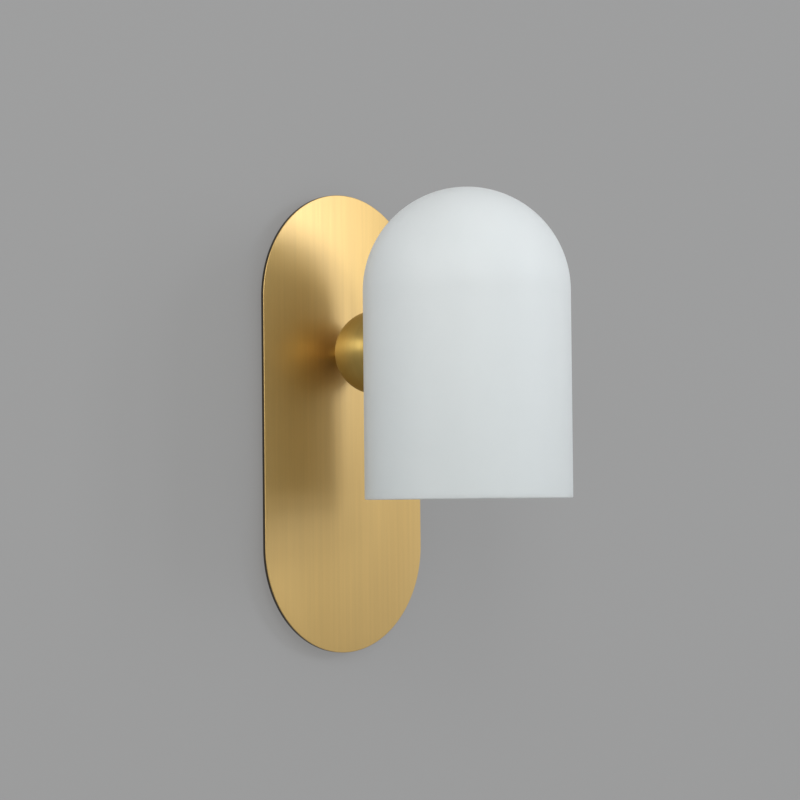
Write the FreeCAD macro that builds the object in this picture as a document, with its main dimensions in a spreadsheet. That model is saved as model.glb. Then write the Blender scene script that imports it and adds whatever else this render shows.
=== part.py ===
import FreeCAD, Part
import Sketcher
import math
import os
import re

# Wall sconce: an oblong brass plate stands off the wall, and a brass ball on a hollow stem
# carries an opal glass shade that swivels on the plate from a down-light to an up-light.
# Millimetres. The origin is on the wall behind the middle of the plate, the front looks
# along -Y, +X is to the right and +Z is up.

SIZES = {
    # Backplate
    "plate_height": 298,
    "plate_width": 138,
    "plate_thickness": 2.5,
    "plate_bevel": 0.4,
    # Frame that holds the plate off the wall
    "frame_inset": 15,
    "frame_depth": 9.5,
    "frame_wall": 1.2,
    "flange_width": 9,
    "flange_thickness": 1,
    "stud_radius": 1.5,
    "stud_length": 4.4,
    "stud_nut_flats": 5.5,
    "stud_nut_height": 2.4,
    # Wall bracket
    "strap_width": 36,
    "strap_thickness": 1.5,
    "strap_bend": 0.8,
    "strap_play": 0.3,
    "tab_width": 14,
    "tab_depth": 7.8,
    "wall_screw_spacing": 60,
    "wall_slot_length": 11,
    "wall_slot_radius": 2.5,
    "cable_hole_radius": 10,
    # Cable grommet
    "grommet_bore": 7,
    "grommet_depth": 3.4,
    "grommet_lip": 12,
    "grommet_lip_depth": 1.1,
    # Screws through the ends of the frame
    "side_screw_radius": 2,
    "side_screw_length": 8,
    "side_screw_depth": 4.6,
    "side_head_radius": 3.6,
    "side_head_height": 2.2,
    "screw_slot_width": 0.9,
    "screw_slot_depth": 0.8,
    # Clearances that the pieces share
    "thread_play": 0.05,
    "screw_play": 0.25,
    "running_play": 0.05,
    "slip_play": 0.1,
    "overrun": 2,
    # Terminal block
    "terminal_drop": 62,
    "pole_pitch": 7,
    "block_width": 21,
    "block_length": 14,
    "block_height": 7,
    "ear_width": 5.5,
    "ear_length": 8,
    "ear_height": 2.4,
    "tunnel_radius": 2.3,
    "tunnel_height": 2.9,
    "clamp_radius": 2.2,
    "clamp_bore": 1.4,
    "clamp_length": 12,
    "clamp_screw_radius": 1.2,
    "clamp_screw_reach": 3.5,
    "clamp_screw_sink": 0.6,
    "block_screw_radius": 1.25,
    "block_head_radius": 2.2,
    "block_head_height": 1.4,
    # Earth terminal
    "earth_side": 12,
    "earth_drop": 18,
    "tag_radius": 4,
    "tag_thickness": 0.8,
    "tag_tongue_width": 2.4,
    "barrel_radius": 1.3,
    "barrel_start": 5,
    "barrel_end": 9,
    "barrel_mouth": 2,
    "earth_screw_radius": 2,
    "earth_head_radius": 3.5,
    "earth_head_height": 2,
    # Wires behind the plate
    "wire_radius": 0.8,
    "wire_rise": 9,
    "outer_lane": 14.5,
    "inner_lane": 12,
    "lane_drop": 28,
    "lane_rise": 17,
    "pair_half_pitch": 0.9,
    "turn_depth": 2.4,
    # Swivel
    "swivel_height": 45,
    "swivel_travel": 180,
    "stop_slack": 0.5,
    "collar_radius": 7,
    "spigot_radius": 6.2,
    "pin_radius": 1.2,
    "pin_distance": 8.5,
    "pin_relief": 0.2,
    "stem_radius": 5,
    "stem_bore": 3.5,
    "stem_chamfer": 0.5,
    "stem_flat": 4.3,
    "stem_tail": 1,
    "stem_proud": 1.3,
    "spring_height": 0.7,
    "spring_sheet": 0.35,
    "spring_radius": 7,
    "stop_thickness": 1.2,
    "stop_radius": 7.2,
    "stop_lobe_radius": 10,
    "nut_flats": 14,
    "locknut_height": 2.5,
    "friction_radius": 6.9,
    "friction_thickness": 0.6,
    # Ball
    "ball_radius": 27,
    "ball_offset": 31.5,
    "ball_flat_radius": 7.5,
    # Shade and what clamps it
    "shade_radius": 65,
    "shade_offset": 113.5,
    "shade_straight": 130,
    "shade_drop": 95,
    "glass_thickness": 3,
    "rim_round": 0.9,
    "glass_hole_radius": 5.6,
    "pad_thickness": 0.8,
    "pad_radius": 19,
    "washer_radius": 9,
    "soft_washer_depth": 2.5,
    "clamp_washer_depth": 1,
    "nut_height": 3,
    # Socket bracket
    "arm_width": 20,
    "arm_thickness": 1.2,
    "arm_rise": 15,
    "arm_drop": 9,
    "arm_overhang": 11,
    "arm_corner": 5,
    "window_start": 10,
    "window_length": 24,
    "window_half_width": 4,
    "arm_bend": 0.8,
    # Stem bush and lamp cable
    "bush_lip_radius": 4.6,
    "bush_lip_depth": 0.8,
    "bush_depth": 6,
    "cable_radius": 2.2,
    "cable_straight": 13,
    "cable_climb": 21,
    "cable_crown": 28,
    # Lamp holder
    "holder_radius": 10.5,
    "skirt_radius": 11,
    "holder_height": 20,
    "skirt_height": 7,
    "recess_length": 15.4,
    "recess_width": 6.6,
    "recess_depth": 6,
    "pin_pitch": 9,
    "slot_length": 4.2,
    "slot_width": 1.8,
    "slot_depth": 8,
    "cable_entry_depth": 3,
    "holder_screw_radius": 1.5,
    "holder_screw_depth": 5,
    "holder_screw_offset": 6.8,
    "holder_head_radius": 2.8,
    "holder_head_height": 1.8,
    "leaf_thickness": 0.4,
    "leaf_length": 7.4,
    "leaf_width": 3.2,
    # Bulb
    "bulb_radius": 8,
    "bulb_base_length": 8.6,
    "bulb_cover_straight": 28,
    "bulb_wall": 0.8,
    "bulb_gap": 0.4,
    "base_play": 0.2,
    "loop_half_width": 1.1,
    "loop_wire": 0.4,
    "loop_length": 6.6,
    "board_width": 10,
    "board_thickness": 1,
    "board_length": 27,
    "chip_width": 3,
    "chip_length": 2.8,
    "chip_depth": 0.7,
    "chip_pitch": 5,
}

# Share of an end run, and of a run between two bends, that one bend of a wire may use
END_RUN_SHARE = 0.95
MIDDLE_RUN_SHARE = 0.45

BOARD_CHIPS = 5

QUARTER_TURN = 90
HALF_TURN = 180
FULL_TURN = 360

# Places that follow from the sizes. Behind the plate they are measured from the wall, and
# along the swivel from the plate's front face, positive towards the room.
PLATE_FRONT = "(frame_depth + plate_thickness)"
END_SPAN = "((plate_height - plate_width) / 2)"
FRAME_HALF_WIDTH = "(plate_width / 2 - frame_inset)"
FRAME_INNER_HALF = f"({FRAME_HALF_WIDTH} - frame_wall)"
FRAME_END = f"({FRAME_HALF_WIDTH} + {END_SPAN})"
STRAP_REACH = f"({END_SPAN} + sqrt({FRAME_INNER_HALF} ^ 2 - (strap_width / 2) ^ 2) - strap_play)"
TAB_REACH = f"({END_SPAN} + sqrt({FRAME_INNER_HALF} ^ 2 - (tab_width / 2) ^ 2) - strap_play)"
STUD_SIDE = f"({FRAME_INNER_HALF} - flange_width / 2)"
BALL_BACK = "(ball_offset - sqrt(ball_radius ^ 2 - ball_flat_radius ^ 2))"
COLLAR_FRONT = f"({BALL_BACK} - friction_thickness)"
SPRING_BACK = "(-plate_thickness - spring_height)"
STOP_BACK = f"({SPRING_BACK} - stop_thickness)"
LOCKNUT_BACK = f"({STOP_BACK} - locknut_height)"
STEM_BACK = f"({LOCKNUT_BACK} - stem_tail)"
GLASS_FRONT = "(shade_offset - shade_radius + glass_thickness)"
SOFT_FRONT = f"({GLASS_FRONT} + soft_washer_depth)"
WASHER_FRONT = f"({SOFT_FRONT} + clamp_washer_depth)"
CLAMP_FRONT = f"({WASHER_FRONT} + nut_height)"
ARM_FRONT = f"({CLAMP_FRONT} + arm_thickness)"
ARM_NUT_FRONT = f"({ARM_FRONT} + nut_height)"
STEM_FRONT = f"({ARM_NUT_FRONT} + stem_proud)"
BUSH_FRONT = f"({STEM_FRONT} + bush_lip_depth)"
STEM_WORKING = "(stem_radius + running_play)"
STOP_ARC = "((swivel_travel - 2 * stop_slack) * 1 deg - 2 * asin(pin_radius / pin_distance))"

# Frames that the pieces are drawn in: x, y, z of the frame's origin and its turn about X.
# A quarter turn points a piece's own z towards the room and its own y up.
WALL = ("0", "0", "0", QUARTER_TURN)
TERMINAL = ("0", "-strap_thickness", "-terminal_drop", QUARTER_TURN)
EARTH = ("earth_side", "-strap_thickness", "-earth_drop", QUARTER_TURN)
SWIVEL = ("0", f"-{PLATE_FRONT}", "swivel_height", QUARTER_TURN)
SHADE_AXIS = f"-({PLATE_FRONT} + shade_offset)"
SHADE_RIM = ("0", SHADE_AXIS, "swivel_height - shade_drop", 0)
LAMP = ("0", SHADE_AXIS, "swivel_height + arm_rise", 0)
BULB_MOUTH = "(-holder_height - bulb_gap)"
COVER_TOP = f"({BULB_MOUTH} - bulb_base_length)"
COVER = ("0", SHADE_AXIS, f"swivel_height + arm_rise + {COVER_TOP}", HALF_TURN)

doc = FreeCAD.newDocument("wall_sconce")
sheet = doc.addObject("Spreadsheet::Sheet", "sizes")
reader = doc.addObject("App::VarSet", "reader")
reader.addProperty("App::PropertyFloat", "reading")
subparts = []


def fill_sheet():
    """Write every driving size to the sheet under its own alias."""
    for row, (alias, value) in enumerate(SIZES.items(), start=1):
        sheet.set(f"A{row}", alias)
        sheet.set(f"B{row}", str(value))
        sheet.setAlias(f"B{row}", alias)
    doc.recompute()


def bound(text):
    """Write an expression on the named sizes as the document reads it."""
    return re.sub(r"[a-z_]+", lambda name: f"sizes.{name[0]}" if name[0] in SIZES else name[0], text)


def bind(target, prop, text):
    """Tie a property to an expression on the named sizes."""
    target.setExpression(prop, bound(text))


def number(text):
    """Read the present value of an expression on the named sizes."""
    bind(reader, "reading", text)
    reader.recompute()
    return reader.reading


def place(piece, x, y, z, rotation=None):
    """Turn a piece and tie its place to expressions."""
    piece.Placement = FreeCAD.Placement(FreeCAD.Vector(0, 0, 0), rotation or FreeCAD.Rotation())
    for axis, text in zip("xyz", (x, y, z)):
        bind(piece, f"Placement.Base.{axis}", text)
    return piece


def about_x(angle):
    """Give a turn about the X axis."""
    return FreeCAD.Rotation(FreeCAD.Vector(1, 0, 0), angle)


def seat(piece, frame):
    """Put a finished sub-part in its frame and list it for the files."""
    x, y, z, angle = frame
    place(piece, x, y, z, about_x(angle))
    subparts.append(piece)
    return piece


# Sketched features

def new_body(name):
    """Start a body that becomes one solid."""
    body = doc.addObject("PartDesign::Body", name)
    body.Label = name
    return body


def new_sketch(body, name, role="XY_Plane", offset="0"):
    """Start a sketch on one of the body's own planes, moved along that plane's normal."""
    plane = next(item for item in body.Origin.OriginFeatures if item.Role == role)
    sketch = body.newObject("Sketcher::SketchObject", f"{body.Name}_{name}")
    sketch.AttachmentSupport = [(plane, "")]
    sketch.MapMode = "FlatFace"
    bind(sketch, "AttachmentOffset.Base.z", offset)
    return sketch


def fix(sketch, kind, where, text):
    """Add one sized constraint and tie it to its expression."""
    index = sketch.addConstraint(Sketcher.Constraint(kind, *where, number(text)))
    name = f"{kind}_{index}"
    sketch.renameConstraint(index, name)
    bind(sketch, f"Constraints.{name}", text)


def outline(sketch, points):
    """Draw a closed outline of straight lines through points given as expressions."""
    corners = [FreeCAD.Vector(number(x), number(y), 0) for x, y in points]
    first = sketch.GeometryCount
    count = len(corners)
    for step in range(count):
        sketch.addGeometry(Part.LineSegment(corners[step], corners[(step + 1) % count]))
    for step in range(count):
        here = first + step
        sketch.addConstraint(Sketcher.Constraint("Coincident", here, 2, first + (step + 1) % count, 1))
    for step, (x, y) in enumerate(points):
        fix(sketch, "DistanceX", (first + step, 1), x)
        fix(sketch, "DistanceY", (first + step, 1), y)


def rectangle(sketch, width, length, x="0", y="0"):
    """Draw a rectangle about a centre."""
    left, right = f"{x} - ({width}) / 2", f"{x} + ({width}) / 2"
    low, high = f"{y} - ({length}) / 2", f"{y} + ({length}) / 2"
    outline(sketch, [(left, low), (right, low), (right, high), (left, high)])


def circle(sketch, radius, x="0", y="0"):
    """Draw a circle about a centre."""
    centre = FreeCAD.Vector(number(x), number(y), 0)
    index = sketch.addGeometry(Part.Circle(centre, FreeCAD.Vector(0, 0, 1), number(radius)))
    fix(sketch, "DistanceX", (index, 3), x)
    fix(sketch, "DistanceY", (index, 3), y)
    fix(sketch, "Radius", (index,), radius)


def stadium(sketch, half_width, half_span, y="0"):
    """Draw an upright slot with round ends, its end centres half_span above and below y."""
    side, low, high = number(half_width), number(f"{y} - {half_span}"), number(f"{y} + {half_span}")
    normal = FreeCAD.Vector(0, 0, 1)
    top = Part.Circle(FreeCAD.Vector(0, high, 0), normal, side)
    bottom = Part.Circle(FreeCAD.Vector(0, low, 0), normal, side)
    right_side = Part.LineSegment(FreeCAD.Vector(side, low, 0), FreeCAD.Vector(side, high, 0))
    left_side = Part.LineSegment(FreeCAD.Vector(-side, high, 0), FreeCAD.Vector(-side, low, 0))
    right = sketch.addGeometry(right_side)
    crown = sketch.addGeometry(Part.ArcOfCircle(top, 0, math.pi))
    sketch.addGeometry(left_side)
    foot = sketch.addGeometry(Part.ArcOfCircle(bottom, math.pi, 2 * math.pi))
    for step in range(4):
        joined = right + (step + 1) % 4
        sketch.addConstraint(Sketcher.Constraint("Tangent", right + step, 2, joined, 1))
    fix(sketch, "DistanceX", (crown, 3), "0")
    fix(sketch, "DistanceX", (foot, 3), "0")
    fix(sketch, "DistanceY", (crown, 3), f"{y} + {half_span}")
    fix(sketch, "DistanceY", (foot, 3), f"{y} - {half_span}")
    fix(sketch, "Radius", (crown,), half_width)
    sketch.addConstraint(Sketcher.Constraint("Equal", crown, foot))


def add_feature(body, kind, sketch):
    """Add a feature of the given kind that works from a sketch."""
    feature = body.newObject(f"PartDesign::{kind}", f"{sketch.Name}_{kind}")
    feature.Profile = sketch
    body.Tip = feature
    return feature


def pad(body, sketch, length, symmetric=False, backwards=False):
    """Raise a sketch into material."""
    feature = add_feature(body, "Pad", sketch)
    feature.SideType = "Symmetric" if symmetric else "One side"
    feature.Reversed = backwards
    bind(feature, "Length", length)
    return feature


def pocket(body, sketch, length=None, both=False, forwards=False):
    """Cut a sketch into a body, through it all where no length is given."""
    feature = add_feature(body, "Pocket", sketch)
    feature.SideType = "Symmetric" if both else "One side"
    feature.Reversed = forwards
    if length is None:
        feature.Type = "ThroughAll"
    else:
        bind(feature, "Length", length)
    return feature


def turn(body, points):
    """Turn a profile of radius and height about the body's own z."""
    sketch = new_sketch(body, "profile", "XZ_Plane")
    outline(sketch, points)
    feature = add_feature(body, "Revolution", sketch)
    feature.ReferenceAxis = (sketch, ["V_Axis"])
    feature.Angle = FULL_TURN
    return feature


def ring(bore, radius, low, high):
    """List the profile of a plain ring."""
    return [(bore, low), (radius, low), (radius, high), (bore, high)]


def edges_where(shape, test):
    """Name the edges of a shape whose bounding boxes pass a test."""
    return [f"Edge{step}" for step, edge in enumerate(shape.Edges, start=1) if test(edge.BoundBox)]


def soften(body, kind, size_property, size, test):
    """Fillet or chamfer the edges of a body that pass a test."""
    doc.recompute()
    base = body.Tip
    feature = body.newObject(f"PartDesign::{kind}", f"{base.Name}_{kind}")
    feature.Base = (base, edges_where(base.Shape, test))
    bind(feature, size_property, size)
    body.Tip = feature
    return feature


# Solids and what joins or cuts them

def cylinder(name, radius, height, x="0", y="0", z="0", rotation=None):
    """Make a cylinder that starts at a place and runs along its own z."""
    piece = doc.addObject("Part::Cylinder", name)
    bind(piece, "Radius", radius)
    bind(piece, "Height", height)
    return place(piece, x, y, z, rotation)


def block(name, size, centre, base):
    """Make a box from its three sizes, the x and y of its centre and the z of its base."""
    piece = doc.addObject("Part::Box", name)
    for prop, text in zip(("Length", "Width", "Height"), size):
        bind(piece, prop, text)
    return place(piece, f"{centre[0]} - ({size[0]}) / 2", f"{centre[1]} - ({size[1]}) / 2", base)


def cut(name, base, tool):
    """Take one solid away from another."""
    piece = doc.addObject("Part::Cut", name)
    piece.Base = base
    piece.Tool = tool
    return piece


def joined(name, pieces, kind="MultiFuse"):
    """Fuse pieces into one, or keep what they share."""
    piece = doc.addObject(f"Part::{kind}", name)
    piece.Shapes = pieces
    return piece


def group(name, pieces):
    """Keep separate solids together as one sub-part."""
    piece = doc.addObject("Part::Compound", name)
    piece.Links = pieces
    return piece


def hexagon_nut(name, flats, height, bore, x="0", y="0", z="0"):
    """Make a six-sided nut on its own z with a plain bore."""
    blank = doc.addObject("Part::Prism", f"{name}_blank")
    blank.Polygon = 6
    bind(blank, "Circumradius", f"({flats}) / sqrt(3)")
    bind(blank, "Height", height)
    place(blank, x, y, z)
    hole = cylinder(f"{name}_hole", bore, f"{height} + 2 * overrun", x, y, f"{z} - overrun")
    return cut(name, blank, hole)


def slotted_screw(name, head_radius, head_height, shank_radius, shank_length):
    """Make a screw with its head above z and its shank below."""
    head = cylinder(f"{name}_head", head_radius, head_height)
    shank = cylinder(f"{name}_shank", shank_radius, shank_length, z=f"-({shank_length})")
    slot_size = (f"2 * {head_radius} + overrun", "screw_slot_width", "screw_slot_depth + overrun")
    sawn = block(f"{name}_slot", slot_size, ("0", "0"), f"{head_height} - screw_slot_depth")
    return cut(name, joined(f"{name}_blank", [head, shank]), sawn)


def domed_shell(name, radius, wall, straight):
    """Make a thin cup: a tube open at z = 0 that ends in a half ball."""
    halves = []
    inner = f"({radius} - {wall})"
    for part_name, size, start in (("outside", radius, "0"), ("inside", inner, "-overrun")):
        tube = cylinder(f"{name}_{part_name}_tube", size, f"{straight} - ({start})", z=start)
        dome = doc.addObject("Part::Sphere", f"{name}_{part_name}_dome")
        bind(dome, "Radius", size)
        dome.Angle1 = 0
        place(dome, "0", "0", straight)
        halves.append(joined(f"{name}_{part_name}", [tube, dome]))
    return cut(f"{name}_shell", *halves)


def bent_wire(name, radius, points, frame):
    """Sweep a round section along straight runs and tangent arcs through the points."""
    route = [FreeCAD.Vector(*(number(text) for text in point)) for point in points]
    last = len(route) - 1
    edges = []
    start = route[0]
    for step in range(1, last):
        back, ahead = route[step - 1] - route[step], route[step + 1] - route[step]
        bend = math.pi - back.getAngle(ahead)
        room = [run.Length * (END_RUN_SHARE if end else MIDDLE_RUN_SHARE)
                for run, end in ((back, step == 1), (ahead, step + 1 == last))]
        reach = min(room)
        bend_radius = reach / math.tan(bend / 2)
        back.normalize()
        ahead.normalize()
        inward = back + ahead
        inward.normalize()
        centre_way = bend_radius / math.cos(bend / 2)
        entry, leave = route[step] + back * reach, route[step] + ahead * reach
        middle = route[step] + inward * (centre_way - bend_radius)
        edges.append(Part.LineSegment(start, entry).toShape())
        edges.append(Part.Arc(entry, middle, leave).toShape())
        start = leave
    edges.append(Part.LineSegment(start, route[last]).toShape())
    section = Part.Circle(route[0], route[1] - route[0], number(radius)).toShape()
    piece = doc.addObject("Part::Feature", name)
    piece.Shape = Part.Wire(edges).makePipeShell([Part.Wire([section])], True, False)
    return seat(piece, frame)


# What stays on the wall

def wall_bracket():
    """Steel strap screwed to the wall box, with an end tab for each side screw."""
    body = new_body("wall_bracket")
    profile = new_sketch(body, "profile", "YZ_Plane")
    inner = f"({TAB_REACH} - strap_thickness)"
    outline(profile, [(f"-{TAB_REACH}", "0"), (TAB_REACH, "0"), (TAB_REACH, "tab_depth"),
                      (inner, "tab_depth"), (inner, "strap_thickness"), (f"-{inner}", "strap_thickness"),
                      (f"-{inner}", "tab_depth"), (f"-{TAB_REACH}", "tab_depth")])
    pad(body, profile, "tab_width", symmetric=True)
    strap = new_sketch(body, "strap")
    rectangle(strap, "strap_width", f"2 * {STRAP_REACH}")
    pad(body, strap, "strap_thickness")
    holes = new_sketch(body, "holes", offset="strap_thickness")
    circle(holes, "cable_hole_radius")
    for side in ("-", ""):
        stadium(holes, "wall_slot_radius", "(wall_slot_length / 2 - wall_slot_radius)",
                f"{side}wall_screw_spacing / 2")
        ear = f"{side}(block_width + ear_width) / 2"
        circle(holes, "block_screw_radius + thread_play", ear, "-terminal_drop")
    circle(holes, "earth_screw_radius + thread_play", "earth_side", "-earth_drop")
    pocket(body, holes)
    tab_holes = new_sketch(body, "tab_holes", "XZ_Plane")
    circle(tab_holes, "side_screw_radius + thread_play", "0", "side_screw_depth")
    pocket(body, tab_holes, both=True)
    reach, bend = number(TAB_REACH), number("strap_bend")
    soften(body, "Fillet", "Radius", "strap_bend",
           lambda box: box.ZMax < bend / 2 and abs(box.YMin) > reach - bend / 2 and box.YLength < bend / 2)
    seat(body, WALL)


def cable_grommet():
    """Rubber ring that lines the cable hole and grips its front edge."""
    body = new_body("cable_grommet")
    turn(body, [("grommet_bore", "0"), ("cable_hole_radius - slip_play", "0"),
                ("cable_hole_radius - slip_play", "strap_thickness"), ("grommet_lip", "strap_thickness"),
                ("grommet_lip", "strap_thickness + grommet_lip_depth"),
                ("cable_hole_radius", "grommet_depth"), ("grommet_bore", "grommet_depth")])
    seat(body, WALL)


def rear_frame():
    """Set-back wall that spaces the plate, with a flange that lies on the plate's back."""
    body = new_body("rear_frame")
    outside = new_sketch(body, "outside")
    stadium(outside, FRAME_HALF_WIDTH, END_SPAN)
    pad(body, outside, "frame_depth")
    hollow = new_sketch(body, "hollow")
    stadium(hollow, FRAME_INNER_HALF, END_SPAN)
    pocket(body, hollow, "frame_depth - flange_thickness", forwards=True)
    mouth = new_sketch(body, "mouth", offset="frame_depth")
    stadium(mouth, f"({FRAME_INNER_HALF} - flange_width)", END_SPAN)
    for x, y in stud_places():
        circle(mouth, "stud_radius + screw_play", x, y)
    pocket(body, mouth)
    ends = new_sketch(body, "screw_holes", "XZ_Plane")
    circle(ends, "side_screw_radius + screw_play", "0", "side_screw_depth")
    pocket(body, ends, both=True)
    seat(body, WALL)


def stud_places():
    """List where the four studs stand on the plate's back."""
    return [(f"{side}{STUD_SIDE}", f"{level}{END_SPAN}") for side in ("-", "") for level in ("-", "")]


def frame_nuts():
    """Four small nuts that hold the frame's flange on the plate's studs."""
    base = "frame_depth - flange_thickness - stud_nut_height"
    nuts = []
    for step, (x, y) in enumerate(stud_places(), start=1):
        nuts.append(hexagon_nut(f"frame_nut_{step}", "stud_nut_flats", "stud_nut_height",
                                "stud_radius + thread_play", x, y, base))
    seat(group("frame_nuts", nuts), WALL)


def backplate():
    """Oblong brass plate with a bevelled front edge, a hole for the collar and four studs."""
    body = new_body("backplate")
    face = new_sketch(body, "face", offset="frame_depth")
    stadium(face, "(plate_width / 2)", END_SPAN)
    pad(body, face, "plate_thickness")
    front, bevel = number(PLATE_FRONT), number("plate_bevel")
    soften(body, "Chamfer", "Size", "plate_bevel", lambda box: box.ZMin > front - bevel)
    hole = new_sketch(body, "collar_hole", offset=PLATE_FRONT)
    circle(hole, "spigot_radius", "0", "swivel_height")
    pocket(body, hole)
    studs = new_sketch(body, "studs", offset="frame_depth")
    for x, y in stud_places():
        circle(studs, "stud_radius", x, y)
    pad(body, studs, "stud_length", backwards=True)
    seat(body, WALL)


def side_screws():
    """One screw through each end of the frame into the bracket's tab."""
    screws = []
    for end, side, angle in (("top", "", -QUARTER_TURN), ("bottom", "-", QUARTER_TURN)):
        screw = slotted_screw(f"side_screw_{end}", "side_head_radius", "side_head_height",
                              "side_screw_radius", "side_screw_length")
        screws.append(place(screw, "0", f"{side}{FRAME_END}", "side_screw_depth", about_x(angle)))
    seat(group("side_screws", screws), WALL)


# Terminals and wires behind the plate

def pole_places():
    """List the x of the three poles of the terminal block."""
    return ["-pole_pitch", "0", "pole_pitch"]


def terminal_block():
    """Three-pole block with wire tunnels, screw wells and two fixing ears."""
    body = new_body("terminal_block")
    foot = new_sketch(body, "ears")
    rectangle(foot, "(block_width + 2 * ear_width)", "ear_length")
    pad(body, foot, "ear_height")
    main = new_sketch(body, "block")
    rectangle(main, "block_width", "block_length")
    pad(body, main, "block_height")
    tunnels = new_sketch(body, "tunnels", "XZ_Plane")
    wells = new_sketch(body, "wells", offset="block_height")
    for x in pole_places():
        circle(tunnels, "tunnel_radius", x, "tunnel_height")
        for level in ("-", ""):
            circle(wells, "clamp_screw_radius + screw_play", x, f"{level}clamp_screw_reach")
    pocket(body, tunnels, both=True)
    pocket(body, wells, "block_height - tunnel_height")
    holes = new_sketch(body, "ear_holes", offset="ear_height")
    for side in ("-", ""):
        circle(holes, "block_screw_radius + screw_play", f"{side}(block_width + ear_width) / 2")
    pocket(body, holes)
    seat(body, TERMINAL)


def along_y(name, radius, length, x, z):
    """Make a cylinder along y about the middle of the local frame."""
    return cylinder(name, radius, length, x, f"-({length}) / 2", z, about_x(-QUARTER_TURN))


def terminal_clamps():
    """Brass tubes that the wires are clamped in, one in each tunnel."""
    tubes = []
    for step, x in enumerate(pole_places(), start=1):
        name = f"terminal_clamp_{step}"
        outside = along_y(f"{name}_outside", "clamp_radius", "clamp_length", x, "tunnel_height")
        bores = [along_y(f"{name}_bore", "clamp_bore", "clamp_length + overrun", x, "tunnel_height")]
        for level, sign in (("low", "-"), ("high", "")):
            bores.append(cylinder(f"{name}_{level}", "clamp_screw_radius + thread_play", "block_height",
                                  x, f"{sign}clamp_screw_reach", "tunnel_height"))
        tubes.append(cut(name, outside, joined(f"{name}_holes", bores)))
    seat(group("terminal_clamps", tubes), TERMINAL)


def terminal_screws():
    """Headless screws that press on the wires, two to a pole."""
    screws = []
    low, high = "(tunnel_height + wire_radius)", "(block_height - clamp_screw_sink)"
    for step, x in enumerate(pole_places(), start=1):
        for level, sign in (("low", "-"), ("high", "")):
            name, y = f"terminal_screw_{step}_{level}", f"{sign}clamp_screw_reach"
            blank = cylinder(f"{name}_blank", "clamp_screw_radius", f"{high} - {low}", x, y, low)
            sawn = block(f"{name}_slot", ("3 * clamp_screw_radius", "clamp_screw_radius / 3", "overrun"),
                         (x, y), f"{high} - screw_slot_depth")
            screws.append(cut(name, blank, sawn))
    seat(group("terminal_screws", screws), TERMINAL)


def block_screws():
    """Two screws that hold the terminal block on the bracket."""
    screws = []
    for step, side in enumerate(("-", ""), start=1):
        screw = slotted_screw(f"block_screw_{step}", "block_head_radius", "block_head_height",
                              "block_screw_radius", "(ear_height + strap_thickness - slip_play)")
        screws.append(place(screw, f"{side}(block_width + ear_width) / 2", "0", "ear_height"))
    seat(group("block_screws", screws), TERMINAL)


def earth_tag():
    """Ring tag with a crimp barrel that takes the earth wire."""
    disc = cylinder("tag_disc", "tag_radius", "tag_thickness")
    tongue = block("tag_tongue", ("tag_tongue_width", "barrel_end - barrel_radius", "tag_thickness"),
                   ("0", "-(barrel_end - barrel_radius) / 2"), "0")
    barrel = cylinder("tag_barrel", "barrel_radius", "barrel_end - barrel_start", "0", "-barrel_end",
                      "barrel_radius", about_x(-QUARTER_TURN))
    mouth = cylinder("tag_mouth", "wire_radius + thread_play", "barrel_mouth + overrun", "0",
                     "-barrel_end - overrun", "barrel_radius", about_x(-QUARTER_TURN))
    hole = cylinder("tag_hole", "earth_screw_radius + thread_play", "tag_thickness + 2 * overrun",
                    z="-overrun")
    tag = joined("tag_blank", [disc, tongue, barrel])
    seat(cut("earth_tag", tag, joined("tag_holes", [hole, mouth])), EARTH)


def earth_screw():
    """Screw that clamps the earth tag to the bracket."""
    screw = slotted_screw("earth_screw_solid", "earth_head_radius", "earth_head_height",
                          "earth_screw_radius", "(tag_thickness + strap_thickness - slip_play)")
    place(screw, "0", "0", "tag_thickness")
    seat(group("earth_screw", [screw]), EARTH)


def leads():
    """Live, neutral and earth wires from the block, the first two to the swivel's own axis."""
    clamp_top = "(-terminal_drop + clamp_length / 2 - wire_rise / 2)"
    lift = "(strap_thickness + tunnel_height)"
    lead_end = f"({PLATE_FRONT} + {STEM_BACK} - slip_play)"
    for name, pole, lane, offset in (("live_wire", "-pole_pitch", "outer_lane", "pair_half_pitch"),
                                     ("neutral_wire", "0", "inner_lane", "-pair_half_pitch")):
        level = f"(swivel_height + {offset})"
        bent_wire(name, "wire_radius", [
            (pole, clamp_top, lift),
            (pole, "(-terminal_drop + block_length / 2 + wire_rise)", lift),
            (f"-{lane}", "-lane_drop", lift),
            (f"-{lane}", "lane_rise", lift),
            (f"(stem_radius - {lane})", level, "turn_depth"),
            ("0", level, "turn_depth"),
            ("0", level, lead_end)], WALL)
    tag_height = "(strap_thickness + barrel_radius)"
    bent_wire("earth_wire", "wire_radius", [
        ("pole_pitch", clamp_top, lift),
        ("pole_pitch", "(-terminal_drop + block_length / 2 + wire_rise)", lift),
        ("earth_side", "(-earth_drop - barrel_end - wire_rise)", tag_height),
        ("earth_side", "(-earth_drop - barrel_end + barrel_mouth)", tag_height)], WALL)


# The swivel

def collar():
    """Brass bush that is swaged into the plate and carries the stem."""
    body = new_body("collar")
    turn(body, [(STEM_WORKING, "-plate_thickness"), ("spigot_radius", "-plate_thickness"),
                ("spigot_radius", "0"), ("collar_radius", "0"), ("collar_radius", COLLAR_FRONT),
                (STEM_WORKING, COLLAR_FRONT)])
    seat(body, SWIVEL)


def stop_pin():
    """Pin on the plate's back that ends the swivel's travel."""
    body = new_body("stop_pin")
    base = new_sketch(body, "base", offset="-plate_thickness")
    circle(base, "pin_radius", "0", "-pin_distance")
    pad(body, base, "spring_height + stop_thickness - pin_relief", backwards=True)
    seat(body, SWIVEL)


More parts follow.
